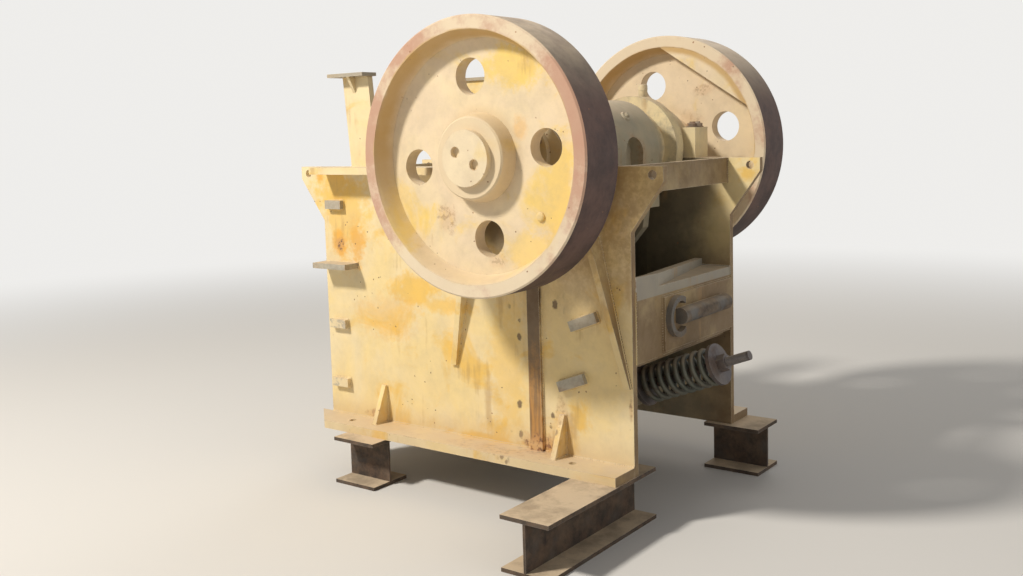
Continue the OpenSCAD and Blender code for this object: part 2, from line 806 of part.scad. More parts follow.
module upper_cross_plate() {
  translate([plate_l - cross_in - cross_t, -plate_in, plate_h - cross_h]) cube([cross_t, 2 * plate_in, cross_h]);
}

// The brace runs from the near rear corner of the top plate to its far front corner
module beam_brace() {
  run = [beam_depth - brace_t, 2 * plate_in];
  intersection() {
    translate([plate_l, -plate_in, beam_top - 1]) rotate([90, 0, 90 + atan2(run[0], run[1])]) linear_extrude(brace_t)
      polygon([[-brace_t, 0], [2 * norm(run), 0], [norm(run), brace_tip + 1], [-brace_t, brace_h + 1]]);
    translate([plate_l - beam_depth, -plate_in, beam_bottom]) cube([beam_depth, 2 * plate_in, beam_top]);
  }
}

module rear_beam() {
  translate([plate_l - beam_depth, -plate_in, beam_top - beam_t]) cube([beam_depth, 2 * plate_in, beam_t]);
  translate([plate_l - beam_t, -plate_in, beam_bottom]) cube([beam_t, 2 * plate_in, beam_top - beam_t - beam_bottom]);
  beam_brace();
}

module beam_panel() {
  translate([plate_l, -panel_near, beam_bottom + panel_low])
    cube([panel_t, panel_near + plate_in - panel_gap, beam_top - beam_bottom - panel_low - panel_high]);
}

// Round bar on the panel, flat where it is welded, and the strap that hooks round its near end
module rear_bar() {
  face = plate_l + panel_t;
  bar_z = beam_bottom + panel_low + bar_rise;
  intersection() {
    across(face + 0.6 * bar_r, bar_z, bar_r, -bar_near, bar_far);
    translate([face, -plate_in, bar_z - bar_r]) cube([2 * bar_r, 2 * plate_in, 2 * bar_r]);
  }
  translate([face, -bar_near, bar_z]) rotate([90, 0, 90]) linear_extrude(strap_t) difference() {
    circle(r = strap_r);
    circle(r = strap_r - strap_w);
    translate([strap_r / 2, -strap_r]) square(2 * strap_r);
  }
}

// Keeps a flat XZ outline in front of the rear beam's upright plate
module before_beam() {
  intersection() {
    children();
    square([plate_l - beam_t, plate_h]);
  }
}

module guide_plates() {
  slab(-plate_in, plate_in) translate(guide_upper) rotate(slope) square([guide_upper_l, guide_t]);
  slab(-plate_in, plate_in) before_beam()
    translate(guide_lower) rotate(slope) square([2 * guide_in, guide_t]);
}

module toggle_seat() {
  slab(-plate_in + seat_gap, plate_in - seat_gap)
    translate(toggle_rear + (toggle_end_r + seat_gap) * toggle_dir)
      rotate(slope) translate([0, -seat_t / 2]) square([seat_l, seat_t]);
}

// Shims that fill the guides between the seat block and the rear beam
module shim_pack() {
  shims_from = toggle_end_r + seat_gap + seat_l + fit_gap;
  count = ceil(guide_in / shim_t);
  slab(-toggle_w / 2, toggle_w / 2) before_beam() translate(toggle_rear) rotate(slope)
    for (i = [0:count - 1]) {
      h = seat_t - shim_step * (i % 2);
      translate([shims_from + i * shim_t, -seat_t / 2]) square([shim_t, h]);
    }
}

module toggle_plate() {
  slab(-toggle_w / 2, toggle_w / 2) union() {
    translate(toggle_front) circle(r = toggle_end_r);
    translate(toggle_rear) circle(r = toggle_end_r);
    translate(toggle_front) rotate(slope) translate([0, -toggle_t / 2]) square([toggle_l, toggle_t]);
  }
}

// Stands a shape on the rod's line, so many millimetres before the spring's rear end
module along_rod(from_rear) {
  translate([spring_rear[0], 0, spring_rear[1]]) rotate([0, 90 - rod_slope, 0])
    translate([0, 0, -from_rear]) children();
}

// Slotted eye round the jaw's pin, seen from the side
module eye_outline(r) {
  travel = eye_end - rod_pin;
  for (p = [rod_pin, eye_end]) translate(p) circle(r = r);
  translate(rod_pin) rotate(atan2(travel[1], travel[0])) translate([0, -r]) square([norm(travel), 2 * r]);
}

module tension_rod() {
  eye_wall = (lug_r + pin_r) / 2;
  difference() {
    union() {
      along_rod(rod_front_l - eye_wall) cylinder(r = rod_r, h = rod_front_l - eye_wall + rod_tail);
      slab(-eye_t / 2, eye_t / 2) eye_outline(lug_r);
    }
    slab(-eye_t, eye_t) eye_outline(pin_r + rod_clear);
  }
  along_rod(-spring_seat_t) cylinder(r = nut_r, h = nut_t, $fn = 6);
}

function coil_point(t) = let (a = 360 * spring_turns * t, r = spring_r - wire_r)
  [r * cos(a), r * sin(a), wire_r + t * (spring_l - 2 * wire_r)];
coil_steps = spring_turns * 16;
coil_sides = 8;
module tension_spring() {
  points = [for (i = [0:coil_steps]) let (
      p = coil_point(i / coil_steps), q = coil_point((i + 0.01) / coil_steps),
      t = (q - p) / norm(q - p), side = [p[0], p[1], 0] / norm([p[0], p[1], 0]), up = cross(t, side))
    for (k = [0:coil_sides - 1]) p + wire_r * (cos(360 * k / coil_sides) * side + sin(360 * k / coil_sides) * up)];
  n = coil_sides;
  faces = concat(
    [[for (k = [0:n - 1]) k]],
    [[for (k = [n - 1:-1:0]) coil_steps * n + k]],
    [for (i = [0:coil_steps - 1], k = [0:n - 1])
      [i * n + k, (i + 1) * n + k, (i + 1) * n + (k + 1) % n, i * n + (k + 1) % n]]
  );
  along_rod(spring_l) polyhedron(points, faces);
}

module spring_seat() {
  difference() {
    cylinder(r = spring_r + seat_lip, h = spring_seat_t);
    translate([0, 0, -1]) cylinder(r = rod_r + rod_clear, h = spring_seat_t + 2);
  }
}

module spring_seats() {
  along_rod(0) spring_seat();
  along_rod(spring_l + spring_seat_t) spring_seat();
}

module rod_bracket() {
  from_rear = spring_l + spring_seat_t + beam_t;
  difference() {
    along_rod(from_rear) translate([-rod_bracket_d / 2, -plate_in, 0])
      cube([rod_bracket_d, 2 * plate_in, beam_t]);
    along_rod(from_rear + 1) cylinder(r = rod_r + rod_clear, h = beam_t + 2);
  }
}

module feed_post() {
  post_top = plate_h + post_h;
  cap_front = post_x - post_lean - post_cap_front;
  slab(-plate_out, -plate_in) polygon([
    [post_x, plate_h], [post_x + post_w, plate_h], [post_x + post_w - post_lean, post_top],
    [post_x - post_lean, post_top]
  ]);
  translate([cap_front, -plate_out - post_cap_side, post_top])
    cube([post_w + post_cap_front + post_cap_back, plate_t + post_cap_side + post_cap_back, post_cap_t]);
  translate([post_x - post_lean + post_w / 2, -plate_out, post_top]) rotate([90, 0, -90])
    linear_extrude(post_cap_t) polygon([[0, 0], [0.85 * post_cap_side, 0], [0, -post_gusset_h]]);
}

module feed_posts() {
  feed_post();
  far() feed_post();
}

// A joist of the given length along X, with its top at the underside of the feet
module joist(length) {
  half = joist_h / 2;
  rotate([90, 0, 90]) linear_extrude(length) polygon([
    [-half, 0], [half, 0], [half, -joist_flange], [joist_web / 2, -joist_flange],
    [joist_web / 2, joist_flange - joist_h], [half, joist_flange - joist_h], [half, -joist_h],
    [-half, -joist_h], [-half, joist_flange - joist_h], [-joist_web / 2, joist_flange - joist_h],
    [-joist_web / 2, -joist_flange], [-half, -joist_flange]
  ]);
}

module joist_rear_near() {
  translate([plate_l + joist_near_out - joist_h / 2, -joist_end, 0]) rotate([0, 0, 90]) joist(joist_across);
}

module joist_rear_far() {
  translate([plate_l + joist_far_out - joist_along, plate_out + joist_far_web, 0]) joist(joist_along);
}

module joists_front() {
  for (s = [-1, 1])
    translate([foot_hole_front + foot_hole_r + joist_short_gap, s * (plate_out + joist_h / 2 + joist_plate_gap), 0])
      joist(joist_short);
}

steel = "tan";
placed() color("khaki") side_plate();  // side_plate_near
placed() color("khaki") far() side_plate();  // side_plate_far
placed() color(steel) foot_flange();  // foot_flange_near
placed() color(steel) far() foot_flange();  // foot_flange_far
placed() color(steel) top_flange();  // top_flange_near
placed() color(steel) far() top_flange();  // top_flange_far
placed() color("khaki") foot_gussets();  // foot_gussets_near
placed() color("khaki") far() foot_gussets();  // foot_gussets_far
placed() color("khaki") bearing_legs();  // bearing_legs_near
placed() color("khaki") far() bearing_legs();  // bearing_legs_far
placed() color(steel) front_wall();
placed() color("khaki") front_wall_ribs();
placed() color("khaki") front_wall_uprights();
placed() color("gray") plate_tenons();  // plate_tenons_near
placed() color("gray") far() plate_tenons();  // plate_tenons_far
placed() color("gray") side_brackets();
placed() color("dimgray") fixed_die();
placed() color("dimgray") cheek_plate();  // cheek_plate_near
placed() color("dimgray") far() cheek_plate();  // cheek_plate_far
placed() color("gray") bearing_housing();  // bearing_housing_near
placed() color("gray") far() bearing_housing();  // bearing_housing_far
placed() color("silver") eccentric_shaft();
placed() color("wheat") flywheel_near();
placed() color("wheat") flywheel_far();
placed() color("wheat") shaft_caps();
placed() color("gray") swing_jaw();
placed() color("dimgray") swing_die();
placed() color("khaki") upper_cross_plate();
placed() color("khaki") rear_beam();
placed() color("khaki") beam_panel();
placed() color("gray") rear_bar();
placed() color("khaki") guide_plates();
placed() color("dimgray") toggle_seat();
placed() color("dimgray") toggle_plate();
placed() color("gray") shim_pack();
placed() color("darkslategray") tension_rod();
placed() color("darkslategray") tension_spring();
placed() color("darkslategray") spring_seats();
placed() color("khaki") rod_bracket();
placed() color("khaki") feed_posts();
placed() color("saddlebrown") joist_rear_near();
placed() color("saddlebrown") joist_rear_far();
placed() color("saddlebrown") joists_front();
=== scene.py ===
import json
import math

import bpy
from mathutils import Matrix, Vector


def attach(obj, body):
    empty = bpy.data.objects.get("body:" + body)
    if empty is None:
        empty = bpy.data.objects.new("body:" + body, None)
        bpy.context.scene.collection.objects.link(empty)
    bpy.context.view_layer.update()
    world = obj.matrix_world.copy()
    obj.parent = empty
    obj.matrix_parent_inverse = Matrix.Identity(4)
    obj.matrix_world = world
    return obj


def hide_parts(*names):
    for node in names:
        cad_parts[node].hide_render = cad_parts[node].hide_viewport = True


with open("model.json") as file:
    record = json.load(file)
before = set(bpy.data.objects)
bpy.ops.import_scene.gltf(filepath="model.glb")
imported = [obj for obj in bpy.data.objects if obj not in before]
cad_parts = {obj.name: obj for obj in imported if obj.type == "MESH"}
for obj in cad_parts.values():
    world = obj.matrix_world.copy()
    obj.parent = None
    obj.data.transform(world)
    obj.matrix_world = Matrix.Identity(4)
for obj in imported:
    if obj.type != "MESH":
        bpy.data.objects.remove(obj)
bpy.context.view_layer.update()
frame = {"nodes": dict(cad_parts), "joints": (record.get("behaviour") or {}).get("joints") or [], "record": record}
nodes = frame["nodes"]
print("frame loaded:", len(nodes), "nodes")

# middle of the eccentric shaft, which the wheels turn about and both sides are mirrored about
shaftAt = Vector(frame["joints"][0]["pos_m"])

# camera at the photograph's viewing angle

cameraSet = {
    "spot": (2.658, -3.6373, 1.4878),
    "yaw": 36.7,
    "pitch": 6.0,
    "roll": -1.6,
    "focalPx": 1062,
    "middlePx": (515, 240.8),
    "framePx": (1023, 576),
    "sensorMm": 36,
}


def addCamera(s):
    yaw, pitch, roll = (math.radians(s[k]) for k in ("yaw", "pitch", "roll"))
    ahead = Vector((-math.sin(yaw) * math.cos(pitch), math.cos(yaw) * math.cos(pitch), -math.sin(pitch)))
    level = Vector((math.cos(yaw), math.sin(yaw), 0))
    lift = level.cross(ahead)
    right = math.cos(roll) * level + math.sin(roll) * lift
    up = math.cos(roll) * lift - math.sin(roll) * level
    bpy.ops.object.camera_add(location=s["spot"])
    camera = bpy.context.object
    camera.rotation_euler = Matrix((right, up, -ahead)).transposed().to_euler()
    wide, high = s["framePx"]
    camera.data.sensor_fit = "HORIZONTAL"
    camera.data.sensor_width = s["sensorMm"]
    camera.data.lens = s["focalPx"] / wide * s["sensorMm"]
    camera.data.shift_x = (wide / 2 - s["middlePx"][0]) / wide
    camera.data.shift_y = (s["middlePx"][1] - high / 2) / wide
    camera.data.clip_start, camera.data.clip_end = 0.05, 200
    bpy.context.scene.camera = camera


addCamera(cameraSet)

# small helpers for building materials


def feed(tree, socket, value):
    if isinstance(value, bpy.types.NodeSocket):
        tree.links.new(value, socket)
    else:
        socket.default_value = value


def addNode(tree, kind, inputs=None, **settings):
    node = tree.nodes.new("ShaderNode" + kind)
    for key, value in settings.items():
        setattr(node, key, value)
    for key, value in (inputs or {}).items():
        feed(tree, node.inputs[key], value)
    return node


def calc(tree, operation, a, b=0.5, c=0.0, clamp=False):
    return addNode(tree, "Math", {0: a, 1: b, 2: c}, operation=operation, use_clamp=clamp).outputs[0]


def product(tree, *factors):
    total = factors[0]
    for factor in factors[1:]:
        total = calc(tree, "MULTIPLY", total, factor)
    return total


def away(tree, value, middle):
    return calc(tree, "ABSOLUTE", calc(tree, "SUBTRACT", value, middle))


def mixColor(tree, factor, a, b):
    return addNode(tree, "Mix", {0: factor, 6: a, 7: b}, data_type="RGBA").outputs[2]


def tinted(tree, color, tone, *masks):
    # lays a tone over the colour where all the masks are on
    return mixColor(tree, product(tree, *masks), color, tone)


def vectorOp(tree, operation, a, b=(0.0, 0.0, 0.0)):
    return addNode(tree, "VectorMath", {0: a, 1: b}, operation=operation).outputs


def axes(tree, vector):
    return addNode(tree, "SeparateXYZ", {0: vector}).outputs


def fade(tree, value, low, high, start=0.0, end=1.0):
    inputs = {"Value": value, "From Min": low, "From Max": high, "To Min": start, "To Max": end}
    return addNode(tree, "MapRange", inputs, interpolation_type="SMOOTHSTEP").outputs["Result"]


def noise(tree, place, scale, detail=4.0, rough=0.6, twist=0.0):
    inputs = {"Vector": place, "Scale": scale, "Detail": detail, "Roughness": rough, "Distortion": twist}
    return addNode(tree, "TexNoise", inputs).outputs["Fac"]


def objectPlace(tree):
    return addNode(tree, "TexCoord").outputs["Object"]


def objectFacing(tree):
    return axes(tree, addNode(tree, "TexCoord").outputs["Normal"])


# floor, lamps and world

stageSet = {
    "floorSize": 60,
    "floorColor": (0.70, 0.68, 0.65, 1),
    "backColor": (0.86, 0.85, 0.83, 1),
    "fadeFrom": 3.2,
    "fadeTo": 9.0,
    "worldStrength": 0.31,
}
lampSet = [
    {"name": "keyLamp", "spot": (-3.4, -6.1, 7.3), "size": 1.1, "watts": 880, "color": (1.0, 0.95, 0.87)},
    {"name": "rearLamp", "spot": (6.5, -0.5, 3.6), "size": 4.5, "watts": 45, "color": (1.0, 0.98, 0.96)},
    {"name": "farLamp", "spot": (-1.5, 6.5, 5.0), "size": 4.5, "watts": 110, "color": (1.0, 0.98, 0.95)},
]
lampAim = (0, 0.08, 0.9)


def addStage(s):
    bpy.ops.mesh.primitive_plane_add(size=s["floorSize"])
    floor = bpy.context.object
    floor.name = "floor"
    material = bpy.data.materials.new("floorFinish")
    material.use_nodes = True
    tree = material.node_tree
    tree.nodes.clear()
    reach = vectorOp(tree, "LENGTH", objectPlace(tree))["Value"]
    dull = addNode(tree, "BsdfDiffuse", {"Color": s["floorColor"]})
    pale = addNode(tree, "Emission", {"Color": s["backColor"]})
    share = fade(tree, reach, s["fadeFrom"], s["fadeTo"])
    both = addNode(tree, "MixShader", {0: share, 1: dull.outputs[0], 2: pale.outputs[0]})
    addNode(tree, "OutputMaterial", {"Surface": both.outputs[0]})
    floor.data.materials.append(material)
    world = bpy.data.worlds.new("studio")
    bpy.context.scene.world = world
    world.use_nodes = True
    tree = world.node_tree
    tree.nodes.clear()
    path = addNode(tree, "LightPath").outputs
    seen = calc(tree, "MAXIMUM", path["Is Camera Ray"], path["Is Glossy Ray"])
    seen = calc(tree, "MAXIMUM", seen, path["Is Transmission Ray"])
    strength = addNode(tree, "MapRange", {"Value": seen, "To Min": s["worldStrength"], "To Max": 1.0})
    sky = addNode(tree, "Background", {"Color": s["backColor"], "Strength": strength.outputs["Result"]})
    addNode(tree, "OutputWorld", {"Surface": sky.outputs[0]})


def addLamp(s):
    bpy.ops.object.light_add(type="AREA", location=s["spot"])
    lamp = bpy.context.object
    lamp.name = s["name"]
    lamp.data.shape = "DISK"
    lamp.data.size = s["size"]
    lamp.data.energy = s["watts"]
    lamp.data.color = s["color"]
    aim = Vector(lampAim) - Vector(s["spot"])
    lamp.rotation_euler = aim.to_track_quat("-Z", "Y").to_euler()


addStage(stageSet)
for lamp in lampSet:
    addLamp(lamp)
bpy.context.scene.view_settings.view_transform = "Standard"
print("camera, floor and lamps added")

# shared effects, each a node group


def newGroup(name, inputs, outputs):
    group = bpy.data.node_groups.new(name, "ShaderNodeTree")
    for key, kind, value in inputs:
        socket = group.interface.new_socket(name=key, in_out="INPUT", socket_type="NodeSocket" + kind)
        if value is not None:
            socket.default_value = value
    for key, kind in outputs:
        group.interface.new_socket(name=key, in_out="OUTPUT", socket_type="NodeSocket" + kind)
    start = group.nodes.new("NodeGroupInput")
    end = group.nodes.new("NodeGroupOutput")
    return group, start.outputs, end.inputs


def useGroup(tree, name, place, **inputs):
    node = tree.nodes.new("ShaderNodeGroup")
    node.node_tree = effects[name]
    feed(tree, node.inputs["Place"], place)
    for key, value in inputs.items():
        feed(tree, node.inputs[key], value)
    return node.outputs


def makePatches():
    # large uneven areas, such as newer or bleached paint
    sockets = [("Place", "Vector", None), ("Scale", "Float", 3.0)]
    sockets += [("Cover", "Float", 0.5), ("Soft", "Float", 0.1)]
    group, start, end = newGroup("patches", sockets, [("Mask", "Float")])
    broad = noise(group, start["Place"], start["Scale"], 6.0, 0.62, 0.6)
    spread = addNode(group, "MapRange", {"Value": broad, "From Min": 0.3, "From Max": 0.7}).outputs["Result"]
    level = calc(group, "SUBTRACT", 1.0, start["Cover"])
    low = calc(group, "SUBTRACT", level, start["Soft"])
    high = calc(group, "ADD", level, start["Soft"])
    group.links.new(fade(group, spread, low, high), end["Mask"])
    return group


def makeStreaks():
    # runs that rain and grease leave down an upright face
    sockets = [("Place", "Vector", None), ("Scale", "Float", 20.0), ("Cover", "Float", 0.4)]
    group, start, end = newGroup("streaks", sockets, [("Mask", "Float")])
    drawn = vectorOp(group, "MULTIPLY", start["Place"], (1.0, 1.0, 0.07))[0]
    runs = noise(group, drawn, start["Scale"], 5.0, 0.6)
    broken = noise(group, start["Place"], 4.0, 4.0)
    both = calc(group, "MULTIPLY", runs, broken)
    low = calc(group, "MULTIPLY_ADD", start["Cover"], -0.25, 0.40)
    high = calc(group, "ADD", low, 0.12)
    group.links.new(fade(group, both, low, high), end["Mask"])
    return group


def makeFreckles():
    # small round blotches where paint has gone, gathered in clusters
    sockets = [("Place", "Vector", None), ("Scale", "Float", 90.0), ("Cover", "Float", 0.2)]
    group, start, end = newGroup("freckles", sockets, [("Mask", "Float")])
    stir = addNode(group, "TexNoise", {"Vector": start["Place"], "Scale": 60.0, "Detail": 3.0})
    shift = addNode(group, "VectorMath", {0: stir.outputs["Color"], 3: 0.012}, operation="SCALE").outputs[0]
    moved = vectorOp(group, "ADD", start["Place"], shift)[0]
    cells = addNode(group, "TexVoronoi", {"Vector": moved, "Scale": start["Scale"]}).outputs
    lot, size = addNode(group, "SeparateColor", {0: cells["Color"]}).outputs[:2]
    crowd = fade(group, noise(group, start["Place"], 5.0, 5.0), 0.42, 0.72)
    chance = calc(group, "MULTIPLY", start["Cover"], crowd)
    kept = calc(group, "LESS_THAN", lot, chance)
    reach = calc(group, "MULTIPLY_ADD", size, 0.25, 0.14)
    inner = calc(group, "MULTIPLY", reach, 0.6)
    dot = fade(group, cells["Distance"], reach, inner)
    group.links.new(calc(group, "MULTIPLY", dot, kept), end["Mask"])
    return group


def makeEdgeWearAndHighlight():
    # edges that are worn bare, and on paint also a pale painted highlight, found by comparing the true normal with
    # a rounded one
    sockets = [("Place", "Vector", None), ("Width", "Float", 0.005), ("Amount", "Float", 0.5)]
    group, start, end = newGroup("edgeWearAndHighlight", sockets, [("Mask", "Float")])
    rounded = addNode(group, "Bevel", {"Radius": start["Width"]}, samples=4).outputs[0]
    flat = addNode(group, "NewGeometry").outputs["Normal"]
    same = vectorOp(group, "DOT_PRODUCT", rounded, flat)["Value"]
    edge = calc(group, "SUBTRACT", 1.0, same)
    gain = calc(group, "MULTIPLY", start["Amount"], 7.0)
    edge = product(group, edge, gain, noise(group, start["Place"], 17.0, 6.0, 0.68))
    group.links.new(fade(group, edge, 0.12, 0.5), end["Mask"])
    return group


def makeDust():
    # sandy dust that settles on faces that look up, and a thin haze elsewhere
    sockets = [("Place", "Vector", None), ("Amount", "Float", 0.5), ("Haze", "Float", 0.15)]
    group, start, end = newGroup("dust", sockets, [("Mask", "Float")])
    lying = fade(group, objectFacing(group)["Z"], 0.3, 0.95)
    spotty = fade(group, noise(group, start["Place"], 7.0, 7.0, 0.66), 0.32, 0.62)
    onTop = product(group, lying, start["Amount"], calc(group, "MULTIPLY_ADD", spotty, 0.5, 0.55))
    haze = calc(group, "MULTIPLY", spotty, start["Haze"])
    group.links.new(calc(group, "MAXIMUM", onTop, haze, clamp=True), end["Mask"])
    return group


def makeRust():
    # mottled rust with its own grain
    sockets = [("Place", "Vector", None), ("Light", "Color", (0.4, 0.2, 0.09, 1))]
    sockets += [("Dark", "Color", (0.1, 0.05, 0.03, 1))]
    group, start, end = newGroup("rust", sockets, [("Color", "Color"), ("Height", "Float")])
    coarse = noise(group, start["Place"], 18.0, 9.0, 0.72)
    pits = addNode(group, "TexVoronoi", {"Vector": start["Place"], "Scale": 160.0}).outputs["Distance"]
    tone = fade(group, coarse, 0.34, 0.66)
    group.links.new(mixColor(group, tone, start["Dark"], start["Light"]), end["Color"])
    group.links.new(calc(group, "MULTIPLY_ADD", pits, 0.3, coarse), end["Height"])
    return group


effects = {
    "patches": makePatches(),
    "streaks": makeStreaks(),
    "freckles": makeFreckles(),
    "edgeWearAndHighlight": makeEdgeWearAndHighlight(),
    "dust": makeDust(),
    "rust": makeRust(),
}
print("shared effects made:", len(effects))

# finishes

rustLight = (0.36, 0.165, 0.07, 1)
rustDark = (0.09, 0.042, 0.022, 1)
sand = (0.60, 0.47, 0.32, 1)
paleEdgeAndHighlight = (0.66, 0.58, 0.44, 1)
grimeTone = (0.36, 0.29, 0.20, 1)
runTone = (0.42, 0.24, 0.08, 1)
orangeTone = (0.80, 0.40, 0.045, 1)
haloTone = (0.55, 0.27, 0.09, 1)
# how strongly each layer lies on those below it
layerCovers = {"fresh": 0.9, "runs": 0.5, "edges": 0.75, "halo": 0.55, "bright": 0.6}
fadedPatches = {"Scale": 2.3, "Soft": 0.25}
freshPatches = {"Scale": 3.6, "Soft": 0.2}
rustPatches = {"Scale": 6.0, "Soft": 0.2}

paintLooks = {
    "frame_paint": {
        "paint": (0.84, 0.655, 0.31, 1), "faded": (0.83, 0.68, 0.40, 1), "fresh": (0.84, 0.52, 0.08, 1),
        "freshCover": 0.26, "fadedCover": 0.5, "streaks": 0.36, "freckles": 0.06, "edges": 0.45,
        "dust": 0.8, "haze": 0.12, "grime": 0.26, "rough": 0.62, "bump": 0.25,
        # places of newer yellow and of one painted pool of light, of orange and of rust: middle, radii and
        # strength
        "freshSpots": [
            ((-0.80, -0.35, 1.25), (0.15, 0.1, 0.14), 1.0),
            ((-0.72, -0.35, 1.13), (0.17, 0.1, 0.22), 0.8),
            ((-0.33, -0.35, 0.83), (0.15, 0.1, 0.07), 1.0),
            ((-0.17, -0.35, 0.77), (0.15, 0.1, 0.04), 0.8),
            ((0.02, -0.35, 0.24), (0.22, 0.03, 0.03), 1.0),
            ((0.15, -0.35, 0.55), (0.10, 0.1, 0.34), 0.5),
            # painted pool of light on the inner face of the far plate's ear
            ((0.80, 0.48, 1.27), (0.05, 0.1, 0.035), 0.9),
        ],
        "orangeSpots": [
            ((-0.66, -0.35, 1.02), (0.06, 0.1, 0.10), 0.8),
            ((-0.875, -0.35, 1.31), (0.035, 0.1, 0.05), 1.0),
            ((-0.765, -0.35, 1.01), (0.06, 0.1, 0.06), 0.9),
            ((-0.50, -0.35, 0.70), (0.20, 0.1, 0.10), 0.3),
        ],
        "rustSpots": [
            ((-0.765, -0.35, 1.007), (0.03, 0.1, 0.03), 1.0),
            ((-0.60, -0.35, 0.255), (0.05, 0.12, 0.02), 0.5),
            ((0.30, -0.36, 0.262), (0.09, 0.1, 0.045), 1.0),
            ((0.71, -0.35, 0.46), (0.012, 0.1, 0.05), 0.7),
            ((0.12, -0.42, 0.24), (0.26, 0.06, 0.03), 0.7),
            ((0.40, -0.36, 0.40), (0.03, 0.1, 0.10), 0.4),
        ],
    },
    "wheel_paint": {
        "paint": (0.80, 0.65, 0.41, 1), "faded": (0.78, 0.63, 0.43, 1), "fresh": (0.84, 0.59, 0.13, 1),
        "freshCover": 0.2, "fadedCover": 0.6, "streaks": 0.1, "freckles": 0.06, "edges": 0.35,
        "dust": 0.5, "haze": 0.18, "grime": 0.34, "rough": 0.66, "bump": 0.3,
        "freshSpots": [
            ((0.44, -0.66, 1.70), (0.17, 0.1, 0.09), 1.0),
            ((0.63, -0.66, 1.26), (0.09, 0.1, 0.26), 1.0),
            ((0.50, -0.66, 1.06), (0.15, 0.1, 0.07), 0.7),
            ((0.42, -0.66, 1.43), (0.05, 0.1, 0.03), 0.6),
            ((-0.09, -0.66, 1.20), (0.06, 0.1, 0.12), 0.6),
        ],
        "orangeSpots": [((0.47, -0.66, 1.498), (0.035, 0.1, 0.06), 0.4)],
        "rustSpots": [
            ((0.13, -0.66, 1.17), (0.045, 0.1, 0.06), 0.45),
            ((0.469, 0.767, 1.64), (0.06, 0.1, 0.03), 0.35),
            ((0.392, 0.767, 1.507), (0.07, 0.1, 0.05), 0.3),
            ((0.36, -0.66, 1.02), (0.05, 0.1, 0.03), 0.35),
        ],
    },
    "cap_paint": {
        "paint": (0.82, 0.68, 0.45, 1), "faded": (0.80, 0.67, 0.47, 1), "fresh": (0.80, 0.60, 0.24, 1),
        "freshCover": 0.16, "fadedCover": 0.6, "streaks": 0.1, "freckles": 0.12, "edges": 0.4,
        "dust": 0.5, "haze": 0.3, "grime": 0.34, "rough": 0.66, "bump": 0.3,
        "freshSpots": [], "orangeSpots": [], "rustSpots": [],
    },
    "housing_paint": {
        "paint": (0.76, 0.62, 0.34, 1), "faded": (0.66, 0.55, 0.36, 1), "fresh": (0.72, 0.50, 0.17, 1),
        "freshCover": 0.2, "fadedCover": 0.6, "streaks": 0.3, "freckles": 0.12, "edges": 0.45,
        "dust": 0.85, "haze": 0.25, "grime": 0.4, "rough": 0.7, "bump": 0.5,
        "freshSpots": [], "orangeSpots": [], "rustSpots": [],
    },
    "jaw_casting": {
        "paint": (0.40, 0.355, 0.24, 1), "faded": (0.33, 0.31, 0.23, 1), "fresh": (0.85, 0.70, 0.40, 1),
        "freshCover": 0.1, "fadedCover": 0.5, "streaks": 0.3, "freckles": 0.15, "edges": 0.4,
        "dust": 0.75, "haze": 0.3, "grime": 0.5, "rough": 0.78, "bump": 0.7,
        # the end rings of the barrel are lighter than the casting: a painted highlight where light falls on the
        # rims
        "freshSpots": [
            ((0.288, 0.436, 1.39), (0.5, 0.06, 0.5), 1.0),
            ((0.288, -0.268, 1.39), (0.5, 0.06, 0.5), 1.0),
        ],
        "orangeSpots": [],
        "rustSpots": [((0.50, 0.10, 1.36), (0.05, 0.08, 0.09), 0.6)],
    },
}

# a wheel's finish changes at these distances from the shaft, in metres
wheelLook = {
    "hub": 0.15, "web": 0.422, "ring": 0.45, "tread": 0.4965, "soft": 0.004,
    "hubTone": (0.84, 0.71, 0.50, 1), "hubCover": 0.6, "footWidth": 0.05, "footTone": (0.50, 0.35, 0.18, 1),
    "footCover": 0.3, "coneDirtAndShade": (0.50, 0.30, 0.085, 1), "coneLow": 0.2, "coneHigh": 0.85,
    "ringPale": (0.76, 0.64, 0.47, 1), "ringRosy": (0.50, 0.275, 0.205, 1), "ringCover": 0.85,
    "treadDark": (0.052, 0.030, 0.026, 1), "treadLight": (0.125, 0.07, 0.055, 1),
}
# half the distance between the side plates
betweenPlates = 0.3975
# behind a wheel the frame is near black, painted shade of the wheel that also stands for grease, and a brown band
# down the rear half of the side plates is a painted shadow of the wheel, partly an oil run
greaseShadeLook = {
    "reach": 0.46, "full": 0.36, "cover": 0.8, "tone": (0.085, 0.060, 0.034, 1),
    "runFoot": 0.62, "runTop": 1.08, "runFront": 0.08, "runRear": 0.30, "runLeast": 0.35, "runMost": 0.65,
    "runTone": (0.30, 0.175, 0.065, 1),
}
# the upright strip under a bearing is golden below and dark above, the dark being painted shade, with blotches on
# both sides of it
stripLook = {
    "half": 0.030, "foot": 0.25, "footSoft": 0.04, "top": 1.22, "topSoft": 0.07, "cover": 0.93,
    "golden": (0.44, 0.19, 0.026, 1), "strand": (0.21, 0.095, 0.02, 1), "shadedTop": (0.075, 0.036, 0.013, 1),
    "goldenTo": 0.62, "shadedTopFrom": 0.98,
    "spotsFrom": 0.045, "spotsTo": 0.12, "spotsUnder": 0.95, "spotSoft": 0.1, "spotScale": 21.0,
    "spotTone": (0.11, 0.065, 0.035, 1), "spotCover": 0.85,
}
# dusty brown at the foot of the side plates
footLook = {"from": 0.34, "full": 0.24, "cover": 0.35, "tone": (0.52, 0.36, 0.20, 1)}
